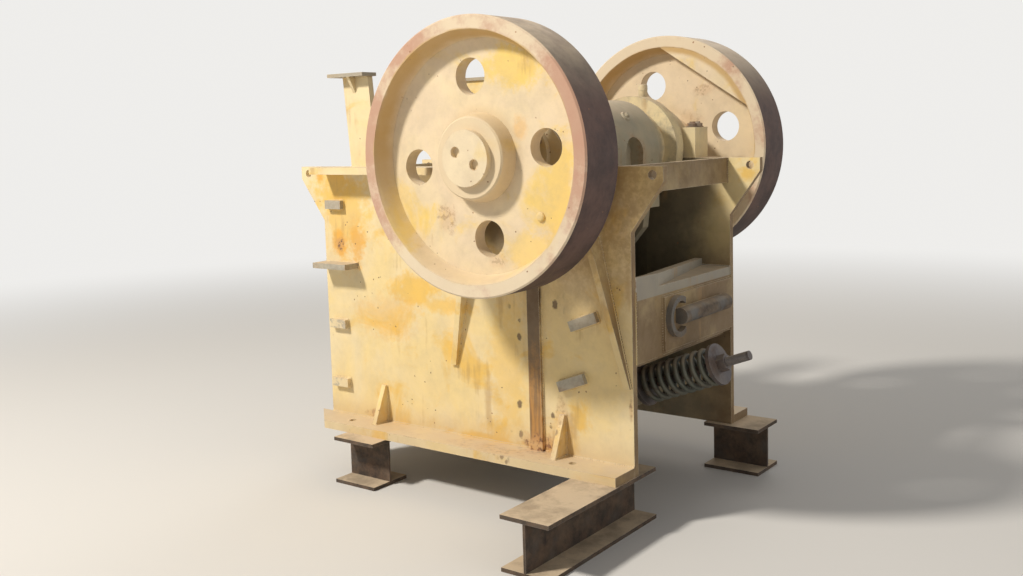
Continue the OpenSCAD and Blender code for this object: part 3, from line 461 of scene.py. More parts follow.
# painted shade: the rear faces, rear parts and lower inner faces are dark brown, the room between the plates is
# nearly black, and faces that look down are darker
rearShadeLook = {
    "tone": (0.17, 0.10, 0.042, 1), "insideShadeTone": (0.10, 0.085, 0.052, 1), "least": 0.65, "most": 0.95,
    "faceFrom": 0.55, "faceFull": 0.68, "partFrom": 0.68, "partFull": 0.705,
    "innerFrom": 0.45, "innerFull": 0.6, "innerTop": 1.15, "innerTopFull": 0.85,
    "roomRear": 0.78, "roomRearFull": 0.5, "roomFront": -0.50, "roomFrontFull": -0.48, "underShadeCover": 0.45,
}
# the rear beam's top edge and the cap plates of the feed posts are bare
bareLook = {
    "beamAt": 0.896, "beamHalf": 0.0455, "beamFrom": 0.5, "beamFull": 0.52, "beamCover": 0.75,
    "beamTone": (0.34, 0.325, 0.28, 1), "capAt": 1.7295, "capCover": 0.8, "capTone": (0.27, 0.25, 0.22, 1),
}


def startFinish(name):
    material = bpy.data.materials.new(name)
    material.use_nodes = True
    tree = material.node_tree
    tree.nodes.clear()
    end = addNode(tree, "OutputMaterial")
    body = addNode(tree, "BsdfPrincipled")
    tree.links.new(body.outputs[0], end.inputs["Surface"])
    return material, tree, body


def addBump(tree, body, height, strength, distance):
    bump = addNode(tree, "Bump", {"Height": height, "Strength": strength, "Distance": distance})
    tree.links.new(bump.outputs[0], body.inputs["Normal"])


def spotMask(tree, place, ragged, spots):
    # ragged ellipsoids at stated places, the strongest of them all
    mask = None
    for middle, radii, strength in spots:
        offset = vectorOp(tree, "SUBTRACT", place, middle)[0]
        scaled = vectorOp(tree, "MULTIPLY", offset, [1 / radius for radius in radii])[0]
        reach = calc(tree, "ADD", vectorOp(tree, "LENGTH", scaled)["Value"], ragged)
        one = fade(tree, reach, 1.15, 0.45, 0.0, strength)
        mask = one if mask is None else calc(tree, "MAXIMUM", mask, one)
    return mask


def reachFromShaft(tree, place):
    flat = vectorOp(tree, "MULTIPLY", vectorOp(tree, "SUBTRACT", place, shaftAt)[0], (1.0, 0.0, 1.0))[0]
    return vectorOp(tree, "LENGTH", flat)["Value"]


def greaseShadeTones(tree, place, color, ragged, mottle, level, s):
    at = axes(tree, place)
    # painted shade behind the wheel, partly grease, then the wheel's painted shadow on the plates' outer faces,
    # partly an oil run
    reach = calc(tree, "MULTIPLY_ADD", ragged, 0.03, reachFromShaft(tree, place))
    color = tinted(tree, color, s["tone"], fade(tree, reach, s["reach"], s["full"], 0.0, s["cover"]))
    high = fade(tree, level, s["runFoot"], s["runTop"])
    rear = fade(tree, at["X"], s["runFront"], s["runRear"])
    uneven = fade(tree, mottle, 0.35, 0.6, s["runLeast"], s["runMost"])
    outside = calc(tree, "GREATER_THAN", away(tree, at["Y"], shaftAt.y), betweenPlates)
    return tinted(tree, color, s["runTone"], high, rear, uneven, outside)


def stripTones(tree, place, color, ragged, mottle, level, s):
    at = axes(tree, place)
    aside = away(tree, at["X"], shaftAt.x)
    edge = calc(tree, "MULTIPLY_ADD", ragged, 0.005, aside)
    run = fade(tree, edge, s["half"] + 0.004, s["half"] - 0.003)
    foot = fade(tree, level, s["foot"], s["foot"] + s["footSoft"])
    top = fade(tree, level, s["top"], s["top"] - s["topSoft"])
    strands = noise(tree, vectorOp(tree, "MULTIPLY", place, (1.0, 1.0, 0.05))[0], 120.0, 3.0, 0.6)
    golden = mixColor(tree, fade(tree, strands, 0.42, 0.6), s["golden"], s["strand"])
    # the strip darkens towards the top as painted shade of the wheel
    depth = calc(tree, "MULTIPLY_ADD", mottle, 0.5, at["Z"])
    tone = mixColor(tree, fade(tree, depth, s["goldenTo"], s["shadedTopFrom"]), golden, s["shadedTop"])
    color = tinted(tree, color, tone, run, foot, top, s["cover"])
    near = fade(tree, aside, s["spotsFrom"] - 0.01, s["spotsFrom"] + 0.01)
    far = fade(tree, aside, s["spotsTo"] + 0.03, s["spotsTo"] - 0.02)
    low = fade(tree, at["Z"], s["spotsUnder"] + s["spotSoft"], s["spotsUnder"] - s["spotSoft"])
    drawn = vectorOp(tree, "MULTIPLY", place, (1.0, 1.0, 0.7))[0]
    cells = addNode(tree, "TexVoronoi", {"Vector": drawn, "Scale": s["spotScale"]}).outputs
    size = addNode(tree, "SeparateColor", {0: cells["Color"]}).outputs[0]
    broken = calc(tree, "MULTIPLY_ADD", calc(tree, "SUBTRACT", mottle, 0.5), 0.55, cells["Distance"])
    broken = calc(tree, "MULTIPLY_ADD", size, 0.16, broken)
    return tinted(tree, color, s["spotTone"], fade(tree, broken, 0.33, 0.2), near, far, low, s["spotCover"])


def rearShadeTones(tree, place, color, s):
    at, facing = axes(tree, place), objectFacing(tree)
    sideways = away(tree, at["Y"], shaftAt.y)
    between = calc(tree, "LESS_THAN", sideways, betweenPlates)
    crosswise = calc(tree, "LESS_THAN", sideways, betweenPlates - 0.002)
    shadeMottle = fade(tree, noise(tree, place, 5.0, 6.0, 0.65), 0.3, 0.6, s["least"], s["most"])
    rearFace = fade(tree, at["X"], s["faceFrom"], s["faceFull"])
    rearFace = product(tree, rearFace, fade(tree, facing["X"], 0.5, 0.9))
    rearPart = product(tree, crosswise, fade(tree, at["X"], s["partFrom"], s["partFull"]))
    innerFace = fade(tree, at["X"], s["innerFrom"], s["innerFull"])
    innerFace = product(tree, innerFace, between, fade(tree, at["Z"], s["innerTop"], s["innerTopFull"]))
    rearward = calc(tree, "MAXIMUM", calc(tree, "MAXIMUM", rearFace, rearPart), innerFace)
    # mottled painted shade on faces and parts towards the rear
    color = tinted(tree, color, s["tone"], rearward, shadeMottle)
    roomRear = fade(tree, at["X"], s["roomRear"], s["roomRearFull"])
    roomFront = fade(tree, at["X"], s["roomFront"], s["roomFrontFull"])
    # painted shade in the room between the plates
    color = tinted(tree, color, s["insideShadeTone"], between, roomRear, roomFront, shadeMottle)
    # painted shade under faces that look down
    return tinted(tree, color, s["tone"], fade(tree, facing["Z"], -0.5, -0.9, 0.0, s["underShadeCover"]))


def bareTones(tree, place, color, s):
    at = axes(tree, place)
    crosswise = calc(tree, "LESS_THAN", away(tree, at["Y"], shaftAt.y), betweenPlates - 0.002)
    beamEdge = calc(tree, "LESS_THAN", away(tree, at["Z"], s["beamAt"]), s["beamHalf"])
    rear = fade(tree, at["X"], s["beamFrom"], s["beamFull"], 0.0, s["beamCover"])
    color = tinted(tree, color, s["beamTone"], beamEdge, crosswise, rear)
    return tinted(tree, color, s["capTone"], calc(tree, "GREATER_THAN", at["Z"], s["capAt"]), s["capCover"])


def frameTones(tree, place, color, ragged):
    mottle = noise(tree, place, 34.0, 7.0, 0.7)
    level = calc(tree, "MULTIPLY_ADD", ragged, 0.04, axes(tree, place)["Z"])
    color = greaseShadeTones(tree, place, color, ragged, mottle, level, greaseShadeLook)
    color = stripTones(tree, place, color, ragged, mottle, level, stripLook)
    foot = fade(tree, level, footLook["from"], footLook["full"], 0.0, footLook["cover"])
    color = tinted(tree, color, footLook["tone"], foot)
    color = rearShadeTones(tree, place, color, rearShadeLook)
    return bareTones(tree, place, color, bareLook)


def wheelTones(tree, place, color, s):
    reach = reachFromShaft(tree, place)
    at = axes(tree, vectorOp(tree, "SUBTRACT", place, shaftAt)[0])
    wander = calc(tree, "SUBTRACT", noise(tree, place, 9.0, 5.0), 0.5)
    uneven = calc(tree, "MULTIPLY_ADD", wander, 0.02, reach)
    hub = fade(tree, reach, s["hub"] + s["soft"], s["hub"] - s["soft"])
    color = tinted(tree, color, s["hubTone"], hub, s["hubCover"])
    # the cone inside the ring is golden brown dirt, stronger towards the top as painted shade of the rim
    cone = fade(tree, uneven, s["web"] - 0.008, s["web"] + 0.014)
    height = fade(tree, at["Z"], -0.3, 0.1, s["coneLow"], s["coneHigh"])
    color = tinted(tree, color, s["coneDirtAndShade"], cone, height)
    foot = fade(tree, uneven, s["hub"] + s["footWidth"], s["hub"] + 0.01)
    color = tinted(tree, color, s["footTone"], foot, s["footCover"])
    # the ring is rosy at its sides and pale at its foot, and paler on the far wheel
    worn = noise(tree, place, 6.0, 8.0, 0.7)
    rosy = calc(tree, "MULTIPLY_ADD", calc(tree, "ABSOLUTE", at["X"]), 0.44, worn)
    rosy = calc(tree, "MULTIPLY_ADD", at["Z"], 0.16, rosy)
    rosy = calc(tree, "MULTIPLY_ADD", fade(tree, at["Y"], -0.1, 0.1), -0.16, rosy)
    tone = mixColor(tree, fade(tree, rosy, 0.52, 0.76), s["ringPale"], s["ringRosy"])
    ring = fade(tree, uneven, s["ring"] - s["soft"], s["ring"] + 0.006)
    color = tinted(tree, color, tone, ring, s["ringCover"])
    outward = calc(tree, "LESS_THAN", calc(tree, "ABSOLUTE", objectFacing(tree)["Y"]), 0.5)
    tread = product(tree, fade(tree, reach, s["tread"] - 0.001, s["tread"] + 0.001), outward)
    dark = mixColor(tree, fade(tree, worn, 0.35, 0.7), s["treadDark"], s["treadLight"])
    return mixColor(tree, tread, color, dark), tread


def paintFinish(name, s):
    material, tree, body = startFinish(name)
    place = objectPlace(tree)
    ragged = calc(tree, "MULTIPLY", calc(tree, "SUBTRACT", noise(tree, place, 13.0, 7.0, 0.7), 0.5), 2.4)
    faded = useGroup(tree, "patches", place, Cover=s["fadedCover"], **fadedPatches)["Mask"]
    fresh = useGroup(tree, "patches", place, Cover=s["freshCover"], **freshPatches)["Mask"]
    if s["freshSpots"]:
        fresh = calc(tree, "MAXIMUM", fresh, spotMask(tree, place, ragged, s["freshSpots"]))
    color = mixColor(tree, faded, s["paint"], s["faded"])
    color = tinted(tree, color, s["fresh"], fresh, layerCovers["fresh"])
    if s["orangeSpots"]:
        color = tinted(tree, color, orangeTone, spotMask(tree, place, ragged, s["orangeSpots"]))
    dirt = noise(tree, place, 11.0, 8.0, 0.7)
    color = tinted(tree, color, grimeTone, fade(tree, dirt, 0.35, 0.8, 0.0, s["grime"]))
    rust = useGroup(tree, "rust", place, Light=rustLight, Dark=rustDark)
    amount, haze = s["dust"], s["haze"]
    if name == "wheel_paint":
        # the tread has more dust on top and none elsewhere
        color, tread = wheelTones(tree, place, color, wheelLook)
        amount = calc(tree, "MULTIPLY_ADD", tread, 0.4, amount)
        haze = calc(tree, "MULTIPLY_ADD", tread, -haze, haze)
    if name == "frame_paint":
        color = frameTones(tree, place, color, ragged)
    runs = useGroup(tree, "streaks", place, Cover=s["streaks"])["Mask"]
    color = tinted(tree, color, runTone, runs, layerCovers["runs"])
    edges = useGroup(tree, "edgeWearAndHighlight", place, Amount=s["edges"])["Mask"]
    # pale paint edges: partly worn paint, partly a painted highlight on the edges
    edgeTone = mixColor(tree, fade(tree, dirt, 0.5, 0.62), paleEdgeAndHighlight, rust["Color"])
    color = tinted(tree, color, edgeTone, edges, layerCovers["edges"])
    bare = useGroup(tree, "freckles", place, Cover=s["freckles"])["Mask"]
    if s["rustSpots"]:
        blotch = spotMask(tree, place, ragged, s["rustSpots"])
        color = tinted(tree, color, haloTone, blotch, layerCovers["halo"])
        flecks = product(tree, blotch, fade(tree, noise(tree, place, 48.0, 6.0, 0.7), 0.5, 0.58))
        bare = calc(tree, "MAXIMUM", bare, flecks)
    color = tinted(tree, color, rust["Color"], bare)
    dust = useGroup(tree, "dust", place, Amount=amount, Haze=haze)["Mask"]
    color = tinted(tree, color, sand, dust)
    tree.links.new(color, body.inputs["Base Color"])
    low, high = s["rough"] - 0.12, s["rough"] + 0.16
    rough = addNode(tree, "MapRange", {"Value": dirt, "To Min": low, "To Max": high})
    tree.links.new(rough.outputs["Result"], body.inputs["Roughness"])
    height = calc(tree, "MULTIPLY", rust["Height"], 0.5)
    height = calc(tree, "MULTIPLY_ADD", bare, -0.35, height)
    height = calc(tree, "MULTIPLY_ADD", dust, 0.25, height)
    addBump(tree, body, height, s["bump"], 0.004)
    return material


steelLooks = {
    "bare_plate_steel": {
        "metal": (0.43, 0.40, 0.32, 1), "light": (0.44, 0.34, 0.24, 1), "dark": (0.19, 0.15, 0.11, 1),
        "metallic": 0.2, "rough": 0.6, "rustCover": 0.34, "dust": 0.8, "haze": 0.25,
    },
    "die_steel": {
        "metal": (0.22, 0.205, 0.185, 1), "light": (0.29, 0.18, 0.11, 1), "dark": (0.10, 0.065, 0.05, 1),
        "metallic": 0.5, "rough": 0.55, "rustCover": 0.55, "dust": 0.6, "haze": 0.3,
    },
    "shaft_steel": {
        "metal": (0.42, 0.40, 0.37, 1), "light": (0.30, 0.18, 0.10, 1), "dark": (0.10, 0.06, 0.04, 1),
        "metallic": 0.8, "rough": 0.42, "rustCover": 0.35, "dust": 0.4, "haze": 0.25,
    },
    "toggle_casting": {
        "metal": (0.22, 0.20, 0.17, 1), "light": (0.26, 0.16, 0.095, 1), "dark": (0.08, 0.055, 0.04, 1),
        "metallic": 0.3, "rough": 0.65, "rustCover": 0.5, "dust": 0.7, "haze": 0.3,
    },
    "rod_steel": {
        "metal": (0.105, 0.095, 0.10, 1), "light": (0.16, 0.105, 0.08, 1), "dark": (0.05, 0.036, 0.034, 1),
        "metallic": 0.5, "rough": 0.5, "rustCover": 0.4, "dust": 0.3, "haze": 0.08,
    },
    "spring_steel": {
        "metal": (0.095, 0.11, 0.09, 1), "light": (0.15, 0.11, 0.075, 1), "dark": (0.045, 0.035, 0.028, 1),
        "metallic": 0.4, "rough": 0.5, "rustCover": 0.22, "dust": 0.5, "haze": 0.1,
    },
    # the joists are dark rusty steel, made darker still as painted shade
    "joist_steel": {
        "metal": (0.075, 0.06, 0.05, 1), "light": (0.12, 0.075, 0.048, 1), "dark": (0.03, 0.022, 0.018, 1),
        "metallic": 0.25, "rough": 0.7, "rustCover": 0.7, "dust": 1.0, "haze": 0.07,
    },
    # the bar across the rear is darker than the rest of the bare plate, as painted shade, and bolts have a look of
    # their own
    "rear_bar": {
        "metal": (0.10, 0.10, 0.098, 1), "light": (0.17, 0.12, 0.08, 1), "dark": (0.05, 0.04, 0.034, 1),
        "metallic": 0.3, "rough": 0.55, "rustCover": 0.45, "dust": 0.4, "haze": 0.1,
    },
    "bolts": {
        "metal": (0.20, 0.17, 0.14, 1), "light": (0.33, 0.18, 0.09, 1), "dark": (0.09, 0.05, 0.035, 1),
        "metallic": 0.5, "rough": 0.55, "rustCover": 0.5, "dust": 0.6, "haze": 0.15,
    },
}
brightSteel = (0.6, 0.56, 0.5, 1)
# the two lower tenons at the front still have most of their paint
tenonLook = {"under": 0.8, "ahead": -0.6, "least": 0.15, "most": 0.85}


def steelFinish(name, s):
    material, tree, body = startFinish(name)
    place = objectPlace(tree)
    rust = useGroup(tree, "rust", place, Light=s["light"], Dark=s["dark"])
    rusty = useGroup(tree, "patches", place, Cover=s["rustCover"], **rustPatches)["Mask"]
    grain = fade(tree, noise(tree, place, 70.0, 5.0, 0.65), 0.35, 0.7, 0.0, 0.35)
    color = mixColor(tree, grain, s["metal"], s["dark"])
    color = tinted(tree, color, rust["Color"], rusty)
    edges = useGroup(tree, "edgeWearAndHighlight", place, Amount=0.4, Width=0.004)["Mask"]
    bright = mixColor(tree, 0.4, s["metal"], brightSteel)
    color = tinted(tree, color, bright, edges, layerCovers["bright"])
    if name == "bare_plate_steel":
        at = axes(tree, place)
        low = calc(tree, "LESS_THAN", at["Z"], tenonLook["under"])
        front = calc(tree, "LESS_THAN", at["X"], tenonLook["ahead"])
        worn = noise(tree, place, 26.0, 6.0, 0.7)
        worn = fade(tree, worn, 0.38, 0.5, tenonLook["least"], tenonLook["most"])
        color = tinted(tree, color, paintLooks["frame_paint"]["faded"], low, front, worn)
    dust = useGroup(tree, "dust", place, Amount=s["dust"], Haze=s["haze"])["Mask"]
    color = tinted(tree, color, sand, dust)
    tree.links.new(color, body.inputs["Base Color"])
    clean = calc(tree, "SUBTRACT", 1.0, calc(tree, "MAXIMUM", rusty, dust), clamp=True)
    tree.links.new(calc(tree, "MULTIPLY", clean, s["metallic"]), body.inputs["Metallic"])
    rough = addNode(tree, "MapRange", {"Value": clean, "To Min": 0.9, "To Max": s["rough"]})
    tree.links.new(rough.outputs["Result"], body.inputs["Roughness"])
    addBump(tree, body, calc(tree, "ADD", rust["Height"], dust), 0.3, 0.003)
    return material


finishes = {name: paintFinish(name, look) for name, look in paintLooks.items()}
finishes.update({name: steelFinish(name, look) for name, look in steelLooks.items()})
slotOf = {entry["node"]: entry["material_slot"] for entry in frame["record"]["subparts"]}
for nodeName, piece in nodes.items():
    piece.data.materials.clear()
    piece.data.materials.append(finishes.get(nodeName, finishes[slotOf[nodeName]]))
print("finishes made:", len(finishes))

# small helpers for modelling


def editAll():
    bpy.ops.object.mode_set(mode="EDIT")
    bpy.ops.mesh.select_all(action="SELECT")


def addTurned(profile, sides):
    # a body of stacked rings, each a radius and a height
    bpy.ops.object.select_all(action="DESELECT")
    radius, height = profile[0]
    spot = (0, 0, height)
    bpy.ops.mesh.primitive_circle_add(vertices=sides, radius=radius, fill_type="NGON", location=spot)
    turned = bpy.context.object
    bpy.ops.object.transform_apply()
    editAll()
    for nextRadius, nextHeight in profile[1:]:
        bpy.ops.mesh.extrude_region_move(TRANSFORM_OT_translate={"value": (0, 0, nextHeight - height)})
        bpy.ops.transform.resize(value=(nextRadius / radius, nextRadius / radius, 1))
        radius, height = nextRadius, nextHeight
    bpy.ops.mesh.select_all(action="SELECT")
    bpy.ops.mesh.normals_make_consistent(inside=False)
    bpy.ops.object.mode_set(mode="OBJECT")
    return turned


def addCoil(radius, wire, pitch, turns, sides, steps):
    # a wire wound round the Z axis, with closed ends
    bpy.ops.object.select_all(action="DESELECT")
    spot = (radius, 0, 0)
    turn = (math.pi / 2, 0, 0)
    bpy.ops.mesh.primitive_circle_add(vertices=sides, radius=wire, location=spot, rotation=turn)
    coil = bpy.context.object
    bpy.ops.object.transform_apply()
    screw = coil.modifiers.new("winding", "SCREW")
    screw.axis = "Z"
    screw.angle = 2 * math.pi
    screw.screw_offset = pitch
    screw.iterations = turns
    screw.steps = steps
    screw.render_steps = steps
    screw.use_smooth_shade = True
    bpy.ops.object.modifier_apply(modifier="winding")
    editAll()
    bpy.ops.mesh.remove_doubles(threshold=wire / 50)
    bpy.ops.mesh.select_all(action="DESELECT")
    bpy.ops.mesh.select_non_manifold()
    bpy.ops.mesh.edge_face_add()
    bpy.ops.mesh.select_all(action="SELECT")
    bpy.ops.mesh.normals_make_consistent(inside=False)
    bpy.ops.object.mode_set(mode="OBJECT")
    return coil


def joined(pieces):
    bpy.ops.object.select_all(action="DESELECT")
    for one in pieces:
        one.select_set(True)
    bpy.context.view_layer.objects.active = pieces[0]
    if len(pieces) > 1:
        bpy.ops.object.join()
    return bpy.context.view_layer.objects.active


def standAt(piece, spot, facing):
    # turns the piece's Z axis along a direction and bakes its place into the mesh
    turn = Vector(facing).to_track_quat("Z", "Y").to_matrix().to_4x4()
    piece.data.transform(Matrix.Translation(spot) @ turn)
    return piece


def copiesAt(master, stands):
    # one copy of the master, with its own mesh, for each place and direction
    copies = []
    for spot, facing in stands:
        copy = master.copy()
        copy.data = master.data.copy()
        bpy.context.collection.objects.link(copy)
        copies.append(standAt(copy, spot, facing))
    bpy.data.objects.remove(master)
    return joined(copies)


def finishPiece(piece, name, body, finish, smoothAngle=35):
    bpy.ops.object.select_all(action="DESELECT")
    piece.select_set(True)
    bpy.context.view_layer.objects.active = piece
    bpy.ops.object.shade_smooth_by_angle(angle=math.radians(smoothAngle))
    piece.name = name
    piece.data.name = name
    piece.data.materials.clear()
    piece.data.materials.append(finishes[finish])
    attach(piece, body)
    print("made", name, len(piece.data.polygons), "faces")


def mirrorY(point):
    return (point[0], 2 * shaftAt.y - point[1], point[2])


# bolts of the bearing housings

housingBolts = {
    "boltX": 0.2445,
    "boltY": (-0.345, -0.397),
    "top": 1.475,
    "nut": [(0.0190, 0.004), (0.0208, 0.0055), (0.0208, 0.0165), (0.0190, 0.018)],
    "washer": [(0.0245, 0.0), (0.0250, 0.0008), (0.0250, 0.004), (0.0245, 0.0045)],
    "stud": [(0.0120, 0.0), (0.0120, 0.022), (0.0105, 0.0245)],
    "coverAt": 0.130,
    "coverY": -0.451,
    "coverCount": 8,
    "coverBolt": [(0.0095, 0.0), (0.0104, 0.001), (0.0104, 0.0065), (0.0092, 0.0078)],
}


def addHousingBolts(s):
    capNut = joined([addTurned(s["nut"], 6), addTurned(s["washer"], 24), addTurned(s["stud"], 16)])
    spots = [(shaftAt.x + side * s["boltX"], y, s["top"]) for side in (-1, 1) for y in s["boltY"]]
    stands = [(spot, (0, 0, 1)) for spot in spots] + [(mirrorY(spot), (0, 0, 1)) for spot in spots]
    finishPiece(copiesAt(capNut, stands), "housingNuts", "root", "bolts")
    head = addTurned(s["coverBolt"], 6)
    stands = []
    for step in range(s["coverCount"]):
        turn = 2 * math.pi * (step + 0.5) / s["coverCount"]
        x = shaftAt.x + s["coverAt"] * math.cos(turn)
        z = shaftAt.z + s["coverAt"] * math.sin(turn)
        spot = (x, s["coverY"], z)
        stands += [(spot, (0, -1, 0)), (mirrorY(spot), (0, 1, 0))]
    finishPiece(copiesAt(head, stands), "coverBolts", "root", "bolts")


addHousingBolts(housingBolts)

# grease cups on the housings, the plug in the barrel and the plug in the near wheel

greaseCups = {
    "spot": (0.288, -0.352, 1.5745),
    "profile": [
        (0.014, 0.0), (0.014, 0.018), (0.009, 0.020), (0.009, 0.034), (0.0185, 0.038), (0.0200, 0.042),
        (0.0200, 0.066), (0.0215, 0.067), (0.0215, 0.088), (0.0190, 0.093), (0.0110, 0.095),
    ],
}
barrelPlug = {
    "reach": 0.2065, "turn": 40.6, "y": 0.10,
    "boss": [(0.024, 0.0), (0.022, 0.007), (0.020, 0.0085)],
    "head": [(0.011, 0.008), (0.012, 0.009), (0.012, 0.017), (0.0105, 0.0185)],
}
wheelPlug = {
    "spot": (0.55, -0.6552, 1.184),
    "boss": [(0.017, 0.0), (0.0165, 0.005), (0.014, 0.0075), (0.009, 0.009)],
}


def addGreaseCups(s):
    cup = addTurned(s["profile"], 20)
    cups = copiesAt(cup, [(s["spot"], (0, 0, 1)), (mirrorY(s["spot"]), (0, 0, 1))])
    finishPiece(cups, "greaseCups", "root", "housing_paint")


def addBarrelPlug(s):
    plug = joined([addTurned(s["boss"], 24), addTurned(s["head"], 6)])
    out = Vector((math.cos(math.radians(s["turn"])), 0, math.sin(math.radians(s["turn"]))))
    spot = Vector((shaftAt.x, s["y"], shaftAt.z)) + s["reach"] * out
    finishPiece(copiesAt(plug, [(spot, out)]), "barrelPlug", "jaw", "jaw_casting")


def addWheelPlug(s):
    plug = copiesAt(addTurned(s["boss"], 20), [(s["spot"], (0, -1, 0))])
    finishPiece(plug, "wheelPlug", "rotor", "wheel_paint")


addGreaseCups(greaseCups)
addBarrelPlug(barrelPlug)
addWheelPlug(wheelPlug)
print("bolts, cups and plugs added")

# spring and thread of the tension rod, both along the rod's line

rodSet = {
    "rear": (0.847256, 0.084, 0.552),
    "slope": 21,
    "springLength": 0.330, "springRadius": 0.078, "wire": 0.0115, "turns": 8,
    "wireSides": 12, "wireSteps": 28, "springSmooth": 60,
    "threadFrom": 0.0505, "threadTo": 0.142, "threadPitch": 0.0035, "rodRadius": 0.018, "ridge": 0.0010,
    "ridgeSink": 0.0002, "ridgeSides": 3, "ridgeSteps": 20,
}


def addRodPieces(s):
    along = Vector((math.cos(math.radians(s["slope"])), 0, math.sin(math.radians(s["slope"]))))
    rear = Vector(s["rear"])
    pitch = (s["springLength"] - 2 * s["wire"]) / s["turns"]
    radius = s["springRadius"] - s["wire"]
    coil = addCoil(radius, s["wire"], pitch, s["turns"], s["wireSides"], s["wireSteps"])
    spring = copiesAt(coil, [(rear - (s["springLength"] - s["wire"]) * along, along)])
    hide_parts("tension_spring")
    finishPiece(spring, "springCoil", "root", "spring_steel", s["springSmooth"])
    turns = int((s["threadTo"] - s["threadFrom"]) / s["threadPitch"])
    radius = s["rodRadius"] - s["ridgeSink"]
    ridge = addCoil(radius, s["ridge"], s["threadPitch"], turns, s["ridgeSides"], s["ridgeSteps"])
    thread = copiesAt(ridge, [(rear + s["threadFrom"] * along, along)])
    finishPiece(thread, "rodThread", "root", "rod_steel")


addRodPieces(rodSet)

# weld beads, modelled as one ripple that is repeated along each seam

weldSet = {
    "radius": 0.0045, "ripple": 0.010, "swell": 1.22, "sides": 6, "wobble": 0.0006, "smooth": 80,
    "plateOut": -0.341, "plateIn": -0.313, "plateFront": -0.8587, "plateRear": 0.7213,
    "footTop": 0.235, "topUnder": 1.315, "topEnds": (-0.8387, 0.6213), "plateTop": 1.345,
    "gussets": (-0.5357, -0.5137, 0.3993, 0.4213), "gussetOut": -0.423, "gussetTop": 0.395,
    "legTop": 0.235, "legFoot": 0.412, "legHalf": 0.013, "legLow": 0.53,
    "stripHalf": 0.029, "stripTop": 1.195,
    "ribs": (0.380, 0.646, 0.912, 1.178), "ribHalf": 0.019, "ribFront": -0.8287,
    "wallFace": -0.5387, "wallLow": 0.32,
    "tenons": (0.380, 0.646, 1.178), "tenonEnd": -0.7337,
    "bracket": (0.900, 0.924), "bracketEnd": -0.6587,
    "guideTenons": ((0.4093, 0.485), (0.4676, 0.7238)), "guideSlope": 21, "guideSize": (0.125, 0.040),
    "post": (-0.6737, -0.5237), "postTop": 1.730, "postCapX": (-0.7057, -0.5557),
    "crossRear": 0.7113, "crossLow": 1.240, "beamLow": 0.615, "beamTop": 0.885, "beamFront": 0.5213,
    "panel": (-0.116, 0.469, 0.629, 0.839), "panelFace": 0.7333, "bar": (-0.030, 0.366, 0.7294, 0.7806),
    "uprightY": (-0.0633, -0.0333, 0.2013, 0.2313), "uprightFront": -0.8087,
}


def makeRipple(s):
    bpy.ops.object.select_all(action="DESELECT")
    bpy.ops.mesh.primitive_circle_add(vertices=s["sides"], radius=s["radius"])
    ripple = bpy.context.object
    editAll()
    for swell in (s["swell"], 1 / s["swell"]):
        bpy.ops.mesh.extrude_region_move(TRANSFORM_OT_translate={"value": (0, 0, s["ripple"] / 2)})
        bpy.ops.transform.resize(value=(swell, swell, 1))
    bpy.ops.object.mode_set(mode="OBJECT")
    return ripple


def addBead(ripple, s, start, end, seed):
    start, end = Vector(start), Vector(end)
    length = (end - start).length
    count = max(2, round(length / s["ripple"]))
    bead = ripple.copy()
    bead.data = ripple.data.copy()
    bpy.context.collection.objects.link(bead)
    bpy.ops.object.select_all(action="DESELECT")
    bead.select_set(True)
    bpy.context.view_layer.objects.active = bead
    run = bead.modifiers.new("run", "ARRAY")
    run.count = count
    run.use_relative_offset = False
    run.use_constant_offset = True
    run.constant_offset_displace = (0, 0, s["ripple"])
    run.use_merge_vertices = True
    bpy.ops.object.modifier_apply(modifier="run")
    bpy.ops.object.mode_set(mode="EDIT")
    bpy.ops.mesh.select_all(action="DESELECT")
    bpy.ops.mesh.select_non_manifold()
    bpy.ops.mesh.fill_holes(sides=0)
    bpy.ops.mesh.select_all(action="SELECT")
    bpy.ops.transform.vertex_random(offset=s["wobble"], seed=seed)
    bpy.ops.mesh.normals_make_consistent(inside=False)
    bpy.ops.object.mode_set(mode="OBJECT")
    bead.data.transform(Matrix.Scale(length / (count * s["ripple"]), 4, (0, 0, 1)))
    return standAt(bead, start, end - start)


def seamsAround(corners):
    return list(zip(corners, corners[1:] + corners[:1]))


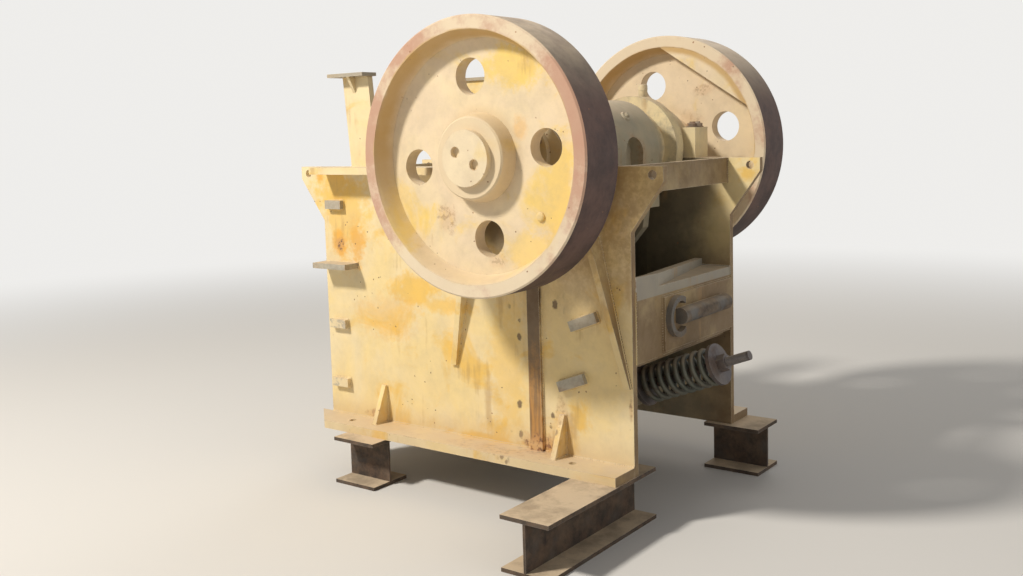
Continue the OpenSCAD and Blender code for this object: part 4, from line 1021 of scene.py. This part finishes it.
def sideSeams(s):
    out, inner = s["plateOut"], s["plateIn"]
    seams = [
        ((s["plateFront"], out, s["footTop"]), (s["plateRear"], out, s["footTop"])),
        ((s["topEnds"][0], out, s["topUnder"]), (s["topEnds"][1], out, s["topUnder"])),
        ((s["plateFront"], out, s["bracket"][0]), (s["bracketEnd"], out, s["bracket"][0])),
        ((s["plateFront"], out, s["bracket"][1]), (s["bracketEnd"], out, s["bracket"][1])),
        ((s["bracketEnd"], out, s["bracket"][0]), (s["bracketEnd"], out, s["bracket"][1])),
        ((s["post"][0], out, s["plateTop"]), (s["post"][1], out, s["plateTop"])),
        ((s["post"][0], inner, s["plateTop"]), (s["post"][1], inner, s["plateTop"])),
        ((s["postCapX"][0], out, s["postTop"]), (s["postCapX"][1], out, s["postTop"])),
        ((s["crossRear"], inner, s["crossLow"]), (s["crossRear"], inner, s["plateTop"])),
        ((s["plateRear"], inner, s["beamLow"]), (s["plateRear"], inner, s["beamTop"])),
        ((s["beamFront"], inner, s["beamTop"]), (s["plateRear"], inner, s["beamTop"])),
        ((s["wallFace"], inner, s["wallLow"]), (s["wallFace"], inner, s["plateTop"])),
    ]
    for x in s["gussets"]:
        seams.append(((x, out, s["footTop"]), (x, out, s["gussetTop"])))
        seams.append(((x, out, s["footTop"]), (x, s["gussetOut"], s["footTop"])))
    for side in (-1, 1):
        x = shaftAt.x + side * s["stripHalf"]
        seams.append(((x, out, s["footTop"]), (x, out, s["stripTop"])))
        for edge in (-s["legHalf"], s["legHalf"]):
            top = shaftAt.x + side * s["legTop"] + edge
            low = shaftAt.x + side * s["legFoot"] + edge
            seams.append(((top, out, s["topUnder"]), (low, out, s["legLow"])))
    for z in s["tenons"]:
        low, high = z - s["ribHalf"], z + s["ribHalf"]
        front, rear = s["ribFront"], s["tenonEnd"]
        seams += seamsAround([(front, out, low), (rear, out, low), (rear, out, high), (front, out, high)])
    turn = math.radians(s["guideSlope"])
    along = Vector((math.cos(turn), 0, math.sin(turn))) * s["guideSize"][0]
    rise = Vector((-math.sin(turn), 0, math.cos(turn))) * s["guideSize"][1]
    for x, z in s["guideTenons"]:
        corner = Vector((x, out, z))
        seams += seamsAround([corner, corner + along, corner + along + rise, corner + rise])
    for z in s["ribs"]:
        for edge in (z - s["ribHalf"], z + s["ribHalf"]):
            seams.append(((s["ribFront"], inner, edge), (s["wallFace"], inner, edge)))
    return seams


def middleSeams(s):
    farIn = mirrorY((0, s["plateIn"], 0))[1]
    seams = []
    for z in s["ribs"]:
        for edge in (z - s["ribHalf"], z + s["ribHalf"]):
            seams.append(((s["wallFace"], s["plateIn"], edge), (s["wallFace"], farIn, edge)))
    for low, high in zip(s["ribs"], s["ribs"][1:]):
        for y in s["uprightY"]:
            bottom, top = low + s["ribHalf"], high - s["ribHalf"]
            seams.append(((s["wallFace"], y, bottom), (s["wallFace"], y, top)))
            seams.append(((s["uprightFront"], y, bottom), (s["wallFace"], y, bottom)))
    near, far, low, high = s["panel"]
    x = s["plateRear"]
    seams += seamsAround([(x, near, low), (x, far, low), (x, far, high), (x, near, high)])
    near, far, low, high = s["bar"]
    seams += [((s["panelFace"], near, z), (s["panelFace"], far, z)) for z in (low, high)]
    return seams


def addWelds(s):
    ripple = makeRipple(s)
    near = sideSeams(s)
    groups = {
        "nearWelds": near,
        "farWelds": [(mirrorY(a), mirrorY(b)) for a, b in near],
        "middleWelds": middleSeams(s),
    }
    for name, seams in groups.items():
        beads = [addBead(ripple, s, a, b, seed) for seed, (a, b) in enumerate(seams)]
        finishPiece(joined(beads), name, "root", "frame_paint", s["smooth"])
    bpy.data.objects.remove(ripple)


addWelds(weldSet)
print("welds added")
